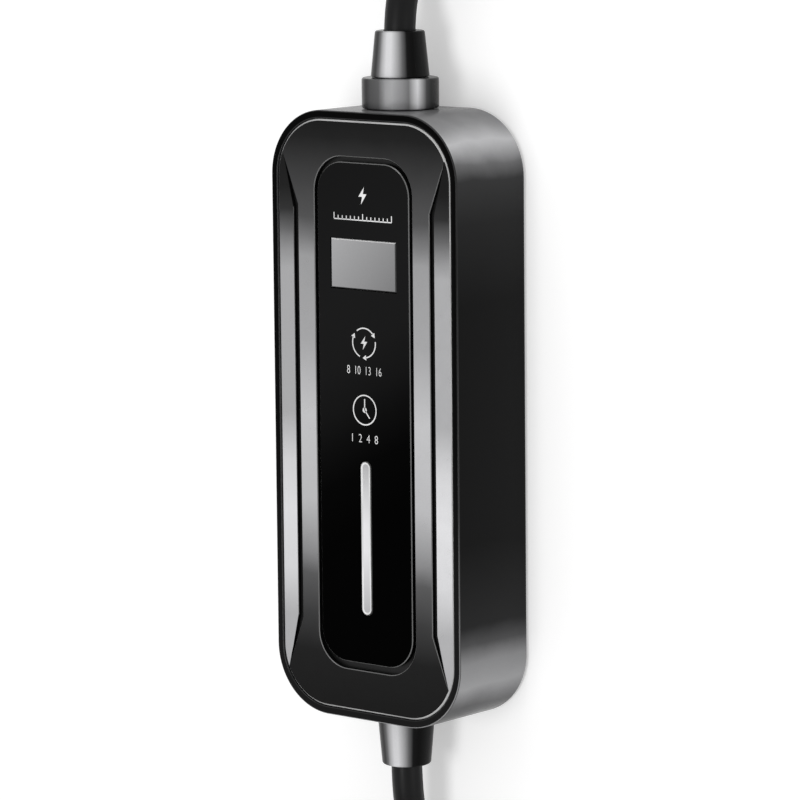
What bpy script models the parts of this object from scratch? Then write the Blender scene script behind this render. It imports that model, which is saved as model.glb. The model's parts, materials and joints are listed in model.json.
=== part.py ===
"""Portable in-line charge box for an electric vehicle, with its two cables.

The box lies on its back: +X is its right side, +Y its supply end and +Z its front.
The origin is the centre of the back face. All sizes are in metres.
"""

import math

import bmesh
import bpy
from mathutils import Vector

# Box
BOX_WIDTH = 0.0900
BOX_LENGTH = 0.2300
BOX_DEPTH = 0.0410
CORNER_RADIUS = 0.0250
BACK_ROUND = 0.0020
EDGE_BEVEL = 0.0006
RIM_WIDTH = 0.0030
LEDGE_WIDTH = 0.0015
LEDGE_DEPTH = 0.0060
FLOOR_THICKNESS = 0.0030
INNER_FILLET = 0.0015
FIT_GAP = 0.0003
CORNER_STEPS = 8

# Front cover
COVER_THICKNESS = 0.0028
SKIRT_THICKNESS = 0.0020
SEAL_THICKNESS = 0.0007
WING_WIDTH = 0.0076
WING_DROP = 0.0006
WING_TIP_SETBACK = 0.0164
WING_KNEE_SETBACK = 0.0370
GROOVE_WIDTH = 0.0021
GROOVE_DEPTH = 0.0016
GROOVE_OVERLAP = 0.0001
GROOVE_TIP_SHARE = 0.0400

# Touch panel and its pocket
PANEL_WIDTH = 0.0446
PANEL_THICKNESS = 0.0020
PANEL_TOP_SETBACK = 0.0188
PANEL_BOTTOM_SETBACK = 0.0218
PANEL_RADIUS = 0.0120
PANEL_BEVEL = 0.0003
POCKET_SIDE_GAP = 0.0015
POCKET_TOP_GAP = 0.0020
POCKET_BOTTOM_GAP = 0.0028
TRAY_THICKNESS = 0.0016
LENS_WIDTH = 0.0316
LENS_HEIGHT = 0.0186
LENS_BEVEL = 0.0004
BAR_WIDTH = 0.0054
BAR_FLANGE = 0.0012
# Shares of the box's length, the places counted from its supply end
LENS_PLACE_SHARE = 0.2474
KEY_PLACE_SHARES = (0.3743, 0.4843)
BAR_PLACE_SHARE = 0.6965
BAR_LENGTH_SHARE = 0.2565
SPRING_DIAMETER = 0.0070
SPRING_WIRE = 0.0007
SPRING_TURNS = 4

# Screw columns and bosses
COLUMN_DIAMETER = 0.0090
COLUMN_HEIGHT = 0.0220
SCREW_WELL_DIAMETER = 0.0064
SCREW_WELL_DEPTH = 0.0160
BOSS_DIAMETER = 0.0070
SCREW_SETBACK = 0.0170
SCREW_SIDE_SETBACK = 0.0150
SCREW_HEAD_DIAMETER = 0.0056
SCREW_HEAD_HEIGHT = 0.0022
SCREW_SHANK_DIAMETER = 0.0024
SCREW_LENGTH = 0.0160

# Boards
BOARD_SIDE_SPACE = 0.0140
BOARD_END_SPACE = 0.0310
BOARD_THICKNESS = 0.0016
BOARD_STANDOFF = 0.0040
BOARD_HOLE_INSET = 0.0040
POST_DIAMETER = 0.0060
SMALL_SHANK_DIAMETER = 0.0018
SMALL_HEAD_DIAMETER = 0.0044
SMALL_HEAD_HEIGHT = 0.0014
SMALL_SCREW_LENGTH = 0.0032
DISPLAY_SIDE_INSET = 0.0013
DISPLAY_TOP_MARGIN = 0.0014
DISPLAY_BOTTOM_MARGIN = 0.0033
DISPLAY_THICKNESS = 0.0012
LCD_BORDER = 0.0032
LCD_THICKNESS = 0.0032
LCD_BEVEL = 0.0004
DISPLAY_POST_INSET = 0.0040
DISPLAY_POST_DIAMETER = 0.0046
DISPLAY_POST_SHARES = (0.1067, 0.7600)
LED_WIDTH = 0.0030
LED_HEIGHT = 0.0014
LED_COUNT = 6

# Components on the main board. Places are counted from the board's middle.
# Across is in board widths, along in board lengths, and heights in shares of
# the room between the two boards.
RELAY_ACROSS = 0.2258
RELAY_ALONG = 0.0119
RELAY_SHARES = (0.3226, 0.1667, 0.7522)
TRANSFORMER_ACROSS = 0.2419
TRANSFORMER_ALONG = 0.2024
TRANSFORMER_SHARES = (0.3871, 0.1310, 0.7965)
FILTER_ALONG = 0.3512
FILTER_SHARES = (0.1452, 0.1012, 0.6195)
LINK_ALONG = -0.1250
LINK_SHARES = (0.3226, 0.0298, 1.0000)
CHIP_ACROSS = -0.3226
CHIP_ALONG = -0.1548
CHIP_SHARES = (0.2258, 0.0833, 0.0708)
COMPONENT_BEVEL = 0.0008
CHIP_BEVEL = 0.0003
BUZZER_ACROSS = 0.3387
BUZZER_ALONG = -0.1548
BUZZER_DIAMETER = 0.0120
BUZZER_BEVEL = 0.0005
BUZZER_HEIGHT_SHARE = 0.3930
CAN_ACROSS = (-0.3548, -0.1613)
CAN_ALONG = 0.2143
CAN_DIAMETER_SHARE = 0.1613
CAN_BEVEL = 0.0007
CAN_HEIGHT_SHARE = 0.6990
VARISTOR_ACROSS = 0.3065
VARISTOR_ALONG = 0.3512
VARISTOR_LENGTH_SHARE = 0.0238
VARISTOR_HEIGHT_SHARE = 0.5240
FUSE_ACROSS = -0.3548
FUSE_ALONG = 0.2917
FUSE_LENGTH_SHARE = 0.1190
FUSE_CAP_SHARE = 0.2500
FUSE_CAP_DIAMETER = 0.0064
FUSE_TUBE_DIAMETER = 0.0054
SENSOR_ALONG = -0.4286
SENSOR_LENGTH_SHARE = 0.0595
SENSOR_HEIGHT_SHARE = 0.8734
SENSOR_HOLE_SHARE = 0.4803
TERMINAL_PITCH = 0.0095
TERMINAL_DEPTH = 0.0100
TERMINAL_BEVEL = 0.0006
TERMINAL_HOLE_DIAMETER = 0.0038
TERMINAL_HEIGHT_SHARE = 0.5677
INPUT_TERMINAL_ALONG = 0.4583
OUTPUT_TERMINAL_ALONG = -0.2976

# Glands
CABLE_DIAMETER = 0.0120
GLAND_HEIGHT_SHARE = 0.45122
GLAND_SPIGOT_DIAMETER = 0.0190
COLLAR_DIAMETER = 0.0290
COLLAR_LENGTH = 0.0114
COLLAR_BEVEL = 0.0008
SLEEVE_ROOT_DIAMETER = 0.0220
SLEEVE_TIP_DIAMETER = 0.0186
SUPPLY_SLEEVE_LENGTH = 0.0172
VEHICLE_SLEEVE_LENGTH = 0.0198
LOCKNUT_FLATS = 0.0220
LOCKNUT_THICKNESS = 0.0045
GLAND_SEAL_THICKNESS = 0.0012
GLAND_SEAL_DIAMETER = 0.0236
SPIGOT_OVERHANG = 0.0006
CABLE_END_INSIDE = 0.0165
SUPPLY_JOIN_SETBACK = 0.0150
VEHICLE_JOIN_SETBACK = 0.0070
GLAND_LIP = 0.0020
NECK_WALL = 0.0015
CORE_DIAMETER = 0.0034
CORE_STRAIGHT = 0.0040

# Cable hanks, each a neat folded bundle on the floor
TIE_THICKNESS = 0.0012
TIE_WIDTH = 0.0160
FOLD_RADIUS = 0.0360
LEAD_RUN = 0.0800
SUPPLY_LANES = 1
SUPPLY_LAYERS = 2
SUPPLY_HANK_LENGTH = 0.1800
VEHICLE_LANES = 2
VEHICLE_LAYERS = 4
VEHICLE_HANK_LENGTH = 0.2050

# Leads from the box to the hanks: share of the run, then share of the drop
LEAD_SHARES = (
    (0.3625, 0.0000),
    (0.5000, 0.1270),
    (0.6375, 0.4545),
    (0.7750, 0.8180),
    (0.9125, 0.9910),
)

# Last stretches over the hanks: across in fold radii, along in hank lengths
# from the hank's near end, and up in cable diameters from its top
SUPPLY_TAIL_SHARES = (
    (-1.0000, 0.3389, 0.5417),
    (-1.0000, 0.2389, 0.5417),
    (-0.7083, 0.0944, 0.5583),
    (0.0000, 0.0344, 0.5917),
    (0.7083, 0.0944, 0.6417),
    (0.9722, 0.2389, 0.7917),
    (0.8333, 0.3611, 1.1250),
)
PLUG_APPROACH_SHARES = (0.4833, 0.5222, 0.5583)
VEHICLE_TAIL_SHARES = (
    (1.3333, 0.6000, 0.5417),
    (1.3333, 0.7073, 0.5417),
    (1.0833, 0.8439, 0.5417),
    (0.3333, 0.9083, 0.5917),
    (-0.4167, 0.8488, 0.8333),
)
CONNECTOR_APPROACH_SHARES = (0.7317, 0.7000, 0.6683)

# Mains plug, its outline in shares of its length and radius
PLUG_DIAMETER = 0.0390
PLUG_LENGTH = 0.0360
PLUG_SLEEVE_LENGTH = 0.0240
PLUG_SLEEVE_WALL = 0.0012
PLUG_ACROSS = 0.5556
PLUG_OUTLINE = (
    (0.5282, 0.0000),
    (0.6708, 0.0556),
    (0.7800, 0.2222),
    (0.8112, 0.4444),
    (0.9692, 0.5556),
    (1.0000, 0.6111),
)
PLUG_EDGE = 0.0010
PIN_DIAMETER = 0.0048
PIN_LENGTH = 0.0190
PIN_POINT = 0.0015
PIN_SPACING = 0.0190
CLIP_WIDTH = 0.0060
CLIP_LENGTH = 0.0130
CLIP_DEPTH = 0.0012

# Vehicle connector
NOSE_DIAMETER = 0.0520
NOSE_LENGTH = 0.0500
NOSE_FLAT = 0.0210
NOSE_WALL = 0.0030
NOSE_EDGE = 0.0010
NOSE_SLOT = 0.0028
NOSE_SLOT_DEPTH = 0.0300
NOSE_FLANGE_DIAMETER = 0.0560
NOSE_FLANGE_LENGTH = 0.0060
HANDLE_LENGTH = 0.0620
HANDLE_TAIL_DIAMETER = 0.0270
HANDLE_SECTIONS = 9
HANDLE_SWELL = 1.4
CONNECTOR_SLEEVE_LENGTH = 0.0270
CONNECTOR_SLEEVE_TIP_DIAMETER = 0.0144
CONNECTOR_SLEEVE_ROOT_DIAMETER = 0.0220
CONNECTOR_ACROSS = -0.6667
CONNECTOR_TAIL_RISE = 0.0124
CONNECTOR_LEAN = 0.0012
CONTACT_HOLE_DIAMETER = 0.0054
CONTACT_BORE = 0.0030
CONTACT_RECESS = 0.0020
CONTACT_LENGTH = 0.0240
CONTACT_RING_RADIUS = 0.0115

# Values worked out from the sizes above
HALF_WIDTH = BOX_WIDTH / 2
HALF_LENGTH = BOX_LENGTH / 2
WALL = RIM_WIDTH + LEDGE_WIDTH
LEDGE_Z = BOX_DEPTH - LEDGE_DEPTH
COVER_INSET = RIM_WIDTH + FIT_GAP
COVER_UNDERSIDE = BOX_DEPTH - COVER_THICKNESS
SKIRT_BOTTOM = LEDGE_Z + SEAL_THICKNESS + 2 * FIT_GAP
POCKET_FLOOR = BOX_DEPTH - PANEL_THICKNESS - FIT_GAP
TRAY_UNDERSIDE = POCKET_FLOOR - TRAY_THICKNESS
LCD_TOP = TRAY_UNDERSIDE - FIT_GAP
DISPLAY_TOP = LCD_TOP - LCD_THICKNESS - FIT_GAP
DISPLAY_BOTTOM = DISPLAY_TOP - DISPLAY_THICKNESS
BOARD_BOTTOM = FLOOR_THICKNESS + BOARD_STANDOFF + FIT_GAP
BOARD_TOP = BOARD_BOTTOM + BOARD_THICKNESS
COMPONENT_BASE = BOARD_TOP + FIT_GAP
PANEL_Y_TOP = HALF_LENGTH - PANEL_TOP_SETBACK
PANEL_Y_BOTTOM = PANEL_BOTTOM_SETBACK - HALF_LENGTH
LENS_Y = HALF_LENGTH - BOX_LENGTH * LENS_PLACE_SHARE
BAR_Y = HALF_LENGTH - BOX_LENGTH * BAR_PLACE_SHARE
BAR_LENGTH = BOX_LENGTH * BAR_LENGTH_SHARE
DISPLAY_WIDTH = PANEL_WIDTH - 2 * DISPLAY_SIDE_INSET
DISPLAY_Y_TOP = LENS_Y + LENS_HEIGHT / 2 + LCD_BORDER + DISPLAY_TOP_MARGIN
DISPLAY_Y_BOTTOM = BAR_Y - BAR_LENGTH / 2 - DISPLAY_BOTTOM_MARGIN
DISPLAY_LENGTH = DISPLAY_Y_TOP - DISPLAY_Y_BOTTOM
BOARD_WIDTH = BOX_WIDTH - 2 * BOARD_SIDE_SPACE
BOARD_LENGTH = BOX_LENGTH - 2 * BOARD_END_SPACE
COMPONENT_ROOM = DISPLAY_BOTTOM - COMPONENT_BASE
SENSOR_DIAMETER = COMPONENT_ROOM * SENSOR_HEIGHT_SHARE
SENSOR_HOLE_DIAMETER = COMPONENT_ROOM * SENSOR_HOLE_SHARE
SENSOR_LENGTH = BOARD_LENGTH * SENSOR_LENGTH_SHARE
SENSOR_Y = BOARD_LENGTH * SENSOR_ALONG
TERMINAL_HEIGHT = COMPONENT_ROOM * TERMINAL_HEIGHT_SHARE
INPUT_TERMINAL_Y = BOARD_LENGTH * INPUT_TERMINAL_ALONG
OUTPUT_TERMINAL_Y = BOARD_LENGTH * OUTPUT_TERMINAL_ALONG
GLAND_HEIGHT = BOX_DEPTH * GLAND_HEIGHT_SHARE
CABLE_END_Y = HALF_LENGTH - CABLE_END_INSIDE
CABLE_SPACING = CABLE_DIAMETER * 2
SUPPLY_CABLE_START = HALF_LENGTH + SUPPLY_JOIN_SETBACK
VEHICLE_CABLE_START = HALF_LENGTH + VEHICLE_JOIN_SETBACK
HANK_START = HALF_LENGTH + LEAD_RUN
HANK_REST = TIE_THICKNESS + FIT_GAP
HANK_LEVEL = HANK_REST + CABLE_DIAMETER / 2
SUPPLY_HANK_TOP = HANK_REST + CABLE_DIAMETER * SUPPLY_LAYERS
VEHICLE_HANK_TOP = HANK_REST + CABLE_DIAMETER * VEHICLE_LAYERS
PLUG_X = FOLD_RADIUS * PLUG_ACROSS
PLUG_Z = SUPPLY_HANK_TOP + FIT_GAP + PLUG_DIAMETER / 2
CONNECTOR_X = FOLD_RADIUS * CONNECTOR_ACROSS
NOSE_Z = VEHICLE_HANK_TOP + FIT_GAP + NOSE_FLANGE_DIAMETER / 2
HANDLE_TAIL_Z = NOSE_Z - CONNECTOR_TAIL_RISE
CONNECTOR_TAIL_Z = HANDLE_TAIL_Z - CONNECTOR_LEAN

BLACK = (0.008, 0.008, 0.009)
SOFT_BLACK = (0.015, 0.015, 0.016)
GUNMETAL = (0.30, 0.30, 0.31)
WHITE = (0.85, 0.85, 0.85)
GREY = (0.35, 0.35, 0.35)
BOARD_GREEN = (0.02, 0.12, 0.05)
STEEL = (0.55, 0.55, 0.56)
AMBER = (0.50, 0.20, 0.03)
BLUE = (0.04, 0.10, 0.40)
BROWN = (0.16, 0.06, 0.02)
EARTH_GREEN = (0.10, 0.35, 0.06)
ORANGE = (0.60, 0.20, 0.02)

FORWARD = Vector((0.0, 0.0, 1.0))
TO_SUPPLY = Vector((0.0, 1.0, 0.0))
TO_VEHICLE = Vector((0.0, -1.0, 0.0))


def clear_scene():
    """Remove every object that the scene starts with."""
    for obj in list(bpy.data.objects):
        bpy.data.objects.remove(obj, do_unlink=True)


def make_material(name, colour, roughness, metallic):
    """Give a Principled material."""
    material = bpy.data.materials.new(name)
    material.use_nodes = True
    shader = material.node_tree.nodes["Principled BSDF"]
    shader.inputs["Base Color"].default_value = (*colour, 1.0)
    shader.inputs["Roughness"].default_value = roughness
    shader.inputs["Metallic"].default_value = metallic
    return material


def make_object(name, bm, colour=SOFT_BLACK, roughness=0.4, metallic=0.0):
    """Turn a bmesh into a named object with its own material."""
    bmesh.ops.recalc_face_normals(bm, faces=bm.faces)
    mesh = bpy.data.meshes.new(name)
    bm.to_mesh(mesh)
    bm.free()
    mesh.shade_smooth()
    mesh.set_sharp_from_angle(angle=math.radians(32))
    mesh.materials.append(make_material(name, colour, roughness, metallic))
    obj = bpy.data.objects.new(name, mesh)
    bpy.context.collection.objects.link(obj)
    return obj


def add_boolean(target, other, operation):
    """Cut or join another object, which is then only a guide."""
    other.hide_render = True
    other.display_type = "WIRE"
    modifier = target.modifiers.new(other.name, "BOOLEAN")
    modifier.operation = operation
    modifier.solver = "EXACT"
    modifier.object = other


def cut(target, name, bm):
    """Cut the shapes in a bmesh out of an object."""
    add_boolean(target, make_object(name, bm), "DIFFERENCE")


def weld(target, name, bm):
    """Join the shapes in a bmesh to an object."""
    add_boolean(target, make_object(name, bm), "UNION")


def bridge(bm, lower, upper):
    """Join two rings of vertices with quads."""
    for index, vertex in enumerate(lower):
        following = (index + 1) % len(lower)
        bm.faces.new((vertex, lower[following], upper[following], upper[index]))


def add_loft(bm, rings, closed=False):
    """Add a skin through rings of points, with end caps or closed on itself."""
    loops = [[bm.verts.new(point) for point in ring] for ring in rings]
    for lower, upper in zip(loops, loops[1:]):
        bridge(bm, lower, upper)
    if closed:
        bridge(bm, loops[-1], loops[0])
    else:
        bm.faces.new(loops[0])
        bm.faces.new(loops[-1])


def rounded_ring(half_x, half_y, radius, z, centre=(0.0, 0.0), steps=CORNER_STEPS):
    """Give the points of a rectangle with round corners at a height."""
    corners = ((1, 1, 0.0), (-1, 1, 0.5), (-1, -1, 1.0), (1, -1, 1.5))
    points = []
    for side_x, side_y, start in corners:
        middle_x = centre[0] + side_x * (half_x - radius)
        middle_y = centre[1] + side_y * (half_y - radius)
        for step in range(steps + 1):
            angle = math.pi * (start + 0.5 * step / steps)
            x = middle_x + radius * math.cos(angle)
            y = middle_y + radius * math.sin(angle)
            points.append(Vector((x, y, z)))
    return points


def box_ring(inset, z):
    """Give the box outline, moved inwards by an inset, at a height."""
    return rounded_ring(HALF_WIDTH - inset, HALF_LENGTH - inset, CORNER_RADIUS - inset, z)


def add_prism(bm, outline, bottom, top):
    """Add a straight prism on an outline of x, y points."""
    base = bm.faces.new([bm.verts.new((x, y, bottom)) for x, y in outline])
    lifted = bmesh.ops.extrude_face_region(bm, geom=[base])["geom"]
    vertices = [item for item in lifted if isinstance(item, bmesh.types.BMVert)]
    bmesh.ops.translate(bm, verts=vertices, vec=(0.0, 0.0, top - bottom))


def add_turned(bm, profile, origin, direction=FORWARD, sides=24, closed=False):
    """Add a turned shape from radius, height pairs along a direction."""
    turn = direction.to_track_quat("Z", "Y")
    rings = []
    for radius, height in profile:
        ring = []
        for side in range(sides):
            angle = math.tau * side / sides
            point = Vector((radius * math.cos(angle), radius * math.sin(angle), height))
            ring.append(Vector(origin) + turn @ point)
        rings.append(ring)
    add_loft(bm, rings, closed)


def add_rod(bm, diameter, origin, length, direction=FORWARD, sides=24):
    """Add a plain round rod."""
    radius = diameter / 2
    add_turned(bm, ((radius, 0.0), (radius, length)), origin, direction, sides)


def add_tube(bm, outer, inner, origin, length, direction=FORWARD, sides=24):
    """Add a plain round tube."""
    profile = ((inner / 2, 0.0), (outer / 2, 0.0), (outer / 2, length), (inner / 2, length))
    add_turned(bm, profile, origin, direction, sides, closed=True)


def add_block(bm, size, base, bevel=0.0):
    """Add a block that stands with the middle of its bottom face on a point."""
    made = bmesh.ops.create_cube(bm, size=1.0)
    vertices = made["verts"]
    bmesh.ops.scale(bm, vec=size, verts=vertices)
    lift = Vector((0.0, 0.0, size[2] / 2))
    bmesh.ops.translate(bm, vec=Vector(base) + lift, verts=vertices)
    if bevel:
        edges = list({edge for vertex in vertices for edge in vertex.link_edges})
        bmesh.ops.bevel(bm, geom=edges, offset=bevel, segments=1, affect="EDGES")


def smooth_route(points, spacing):
    """Give evenly read points on a smooth curve through a list of points."""
    knots = [Vector(point) for point in points]
    ends = [2 * knots[0] - knots[1], *knots, 2 * knots[-1] - knots[-2]]
    route = []
    for before, start, end, after in zip(ends, ends[1:], ends[2:], ends[3:]):
        count = max(1, round((end - start).length / spacing))
        for step in range(count):
            t = step / count
            straight = 2 * start + (end - before) * t
            bend = (2 * before - 5 * start + 4 * end - after) * t ** 2
            twist = (3 * start - before - 3 * end + after) * t ** 3
            route.append((straight + bend + twist) / 2)
    route.append(knots[-1])
    return route


def new_curve(name, diameter, resolution, colour, roughness, metallic=0.0):
    """Make an empty curve object whose splines become closed round wires."""
    curve = bpy.data.curves.new(name, "CURVE")
    curve.dimensions = "3D"
    curve.bevel_depth = diameter / 2
    curve.bevel_resolution = resolution
    curve.use_fill_caps = True
    curve.materials.append(make_material(name, colour, roughness, metallic))
    bpy.context.collection.objects.link(bpy.data.objects.new(name, curve))
    return curve


def add_spline(curve, points):
    """Add one wire through a list of points to a curve."""
    spline = curve.splines.new("POLY")
    spline.points.add(len(points) - 1)
    for target, point in zip(spline.points, points):
        target.co = (*point, 1.0)


def make_cable(name, points, diameter, spacing, colour=SOFT_BLACK):
    """Make a round cable along a smooth route."""
    curve = new_curve(name, diameter, 2, colour, 0.45)
    add_spline(curve, smooth_route(points, spacing))


def cover_screw_places():
    """Give the x, y places of the four cover screws."""
    y = HALF_LENGTH - SCREW_SETBACK
    x = HALF_WIDTH - SCREW_SIDE_SETBACK
    return [(side_x * x, side_y * y) for side_x in (-1, 1) for side_y in (-1, 1)]


def board_screw_places():
    """Give the x, y places of the four main board screws."""
    x = BOARD_WIDTH / 2 - BOARD_HOLE_INSET
    y = BOARD_LENGTH / 2 - BOARD_HOLE_INSET
    return [(side_x * x, side_y * y) for side_x in (-1, 1) for side_y in (-1, 1)]


def display_screw_places():
    """Give the x, y places of the four display board screws."""
    x = DISPLAY_WIDTH / 2 - DISPLAY_POST_INSET
    rows = [DISPLAY_Y_BOTTOM + DISPLAY_LENGTH * share for share in DISPLAY_POST_SHARES]
    return [(side * x, y) for side in (-1, 1) for y in rows]


def add_rods(bm, places, diameter, bottom, top, sides=16):
    """Add one upright rod at each place."""
    for x, y in places:
        add_rod(bm, diameter, (x, y, bottom), top - bottom, sides=sides)


def make_housing():
    """Make the tub that holds everything, with its columns and screw wells."""
    rings = []
    for step in range(4):
        angle = math.pi / 2 * step / 3
        inset = BACK_ROUND * (1 - math.sin(angle))
        rings.append(box_ring(inset, BACK_ROUND * (1 - math.cos(angle))))
    rings.append(box_ring(0.0, BOX_DEPTH - EDGE_BEVEL))
    rings.append(box_ring(EDGE_BEVEL, BOX_DEPTH))
    rings.append(box_ring(RIM_WIDTH - EDGE_BEVEL, BOX_DEPTH))
    rings.append(box_ring(RIM_WIDTH, BOX_DEPTH - EDGE_BEVEL))
    rings.append(box_ring(RIM_WIDTH, LEDGE_Z))
    rings.append(box_ring(WALL, LEDGE_Z))
    rings.append(box_ring(WALL, FLOOR_THICKNESS + INNER_FILLET))
    rings.append(box_ring(WALL + INNER_FILLET, FLOOR_THICKNESS))
    bm = bmesh.new()
    add_loft(bm, rings)
    housing = make_object("housing", bm, BLACK, 0.15)

    hole = GLAND_SPIGOT_DIAMETER + 2 * FIT_GAP
    for name, side, direction in (("supply", 1, TO_SUPPLY), ("vehicle", -1, TO_VEHICLE)):
        drill = bmesh.new()
        start = (0.0, side * (HALF_LENGTH - 2 * WALL), GLAND_HEIGHT)
        add_rod(drill, hole, start, 3 * WALL, direction, sides=36)
        cut(housing, f"housing_{name}_hole", drill)

    inside = FLOOR_THICKNESS / 2
    posts = bmesh.new()
    add_rods(posts, cover_screw_places(), COLUMN_DIAMETER, inside, COLUMN_HEIGHT)
    add_rods(posts, board_screw_places(), POST_DIAMETER, inside, FLOOR_THICKNESS + BOARD_STANDOFF)
    weld(housing, "housing_posts", posts)

    wells = bmesh.new()
    below = -FIT_GAP
    shank_hole = SCREW_SHANK_DIAMETER + 4 * FIT_GAP
    for x, y in cover_screw_places():
        profile = (
            (SCREW_WELL_DIAMETER / 2, below),
            (SCREW_WELL_DIAMETER / 2, SCREW_WELL_DEPTH),
            (shank_hole / 2, SCREW_WELL_DEPTH),
            (shank_hole / 2, COLUMN_HEIGHT + FIT_GAP),
        )
        add_turned(wells, profile, (x, y, 0.0), sides=16)
    pilot = SMALL_SHANK_DIAMETER + 2 * FIT_GAP
    add_rods(wells, board_screw_places(), pilot, FLOOR_THICKNESS, BOARD_BOTTOM, sides=12)
    cut(housing, "housing_wells", wells)


def wing_outline():
    """Give the knee, tip and edge points of the right wing's upper half."""
    edge_x = HALF_WIDTH - COVER_INSET
    inner_x = edge_x - WING_WIDTH
    corner_y = HALF_LENGTH - CORNER_RADIUS
    corner_x = HALF_WIDTH - CORNER_RADIUS
    tip_y = HALF_LENGTH - WING_TIP_SETBACK
    tip_radius = CORNER_RADIUS - COVER_INSET - EDGE_BEVEL
    tip_x = corner_x + math.sqrt(tip_radius ** 2 - (tip_y - corner_y) ** 2)
    knee_y = HALF_LENGTH - WING_KNEE_SETBACK
    return (inner_x, knee_y), (tip_x, tip_y), edge_x


def add_wing_cutter(bm, side):
    """Add the wedge that lowers one side facet towards the cover's edge."""
    (knee_x, knee_y), (tip_x, tip_y), edge_x = wing_outline()
    beyond = edge_x + LEDGE_WIDTH
    slope = WING_DROP / (edge_x - knee_x)
    outline = (
        (knee_x, -knee_y),
        (tip_x, -tip_y),
        (beyond, -tip_y),
        (beyond, tip_y),
        (tip_x, tip_y),
        (knee_x, knee_y),
    )
    top = BOX_DEPTH + LEDGE_WIDTH
    low = [Vector((side * x, y, BOX_DEPTH - slope * (x - knee_x))) for x, y in outline]
    high = [Vector((side * x, y, top)) for x, y in outline]
    add_loft(bm, (low, high))


def add_groove_cutter(bm, side):
    """Add the tapering groove between a wing and the middle of the cover."""
    (knee_x, knee_y), (tip_x, tip_y), _ = wing_outline()
    inner_x = knee_x - GROOVE_WIDTH
    outer_x = knee_x + GROOVE_OVERLAP
    inner_knee_y = knee_y + GROOVE_WIDTH / 2
    end_x = tip_x - (tip_x - knee_x) * GROOVE_TIP_SHARE
    end_y = tip_y - (tip_y - knee_y) * GROOVE_TIP_SHARE
    outline = (
        (side * end_x, end_y),
        (side * outer_x, knee_y),
        (side * outer_x, -knee_y),
        (side * end_x, -end_y),
        (side * inner_x, -inner_knee_y),
        (side * inner_x, inner_knee_y),
    )
    add_prism(bm, outline, BOX_DEPTH - GROOVE_DEPTH, BOX_DEPTH + LEDGE_WIDTH)


def pocket_ring(grow, z):
    """Give the panel pocket's outline, grown by a margin, at a height."""
    top = PANEL_Y_TOP + POCKET_TOP_GAP + grow
    bottom = PANEL_Y_BOTTOM - POCKET_BOTTOM_GAP - grow
    half_x = PANEL_WIDTH / 2 + POCKET_SIDE_GAP + grow
    radius = PANEL_RADIUS + POCKET_SIDE_GAP + grow
    return rounded_ring(half_x, (top - bottom) / 2, radius, z, (0.0, (top + bottom) / 2))


def bar_ring(grow, z):
    """Give the status light's round-ended outline, grown by a margin."""
    half_x = BAR_WIDTH / 2 + grow
    return rounded_ring(half_x, BAR_LENGTH / 2 + grow, half_x, z, (0.0, BAR_Y), steps=5)


def key_places():
    """Give the places of the two touch keys."""
    return [(0.0, HALF_LENGTH - BOX_LENGTH * share) for share in KEY_PLACE_SHARES]


def add_window_cutters(bm, bottom, top):
    """Add the openings for the display lens and the status light."""
    size = (LENS_WIDTH + 2 * FIT_GAP, LENS_HEIGHT + 2 * FIT_GAP, top - bottom)
    add_block(bm, size, (0.0, LENS_Y, bottom))
    add_loft(bm, (bar_ring(FIT_GAP, bottom), bar_ring(FIT_GAP, top)))


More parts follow.
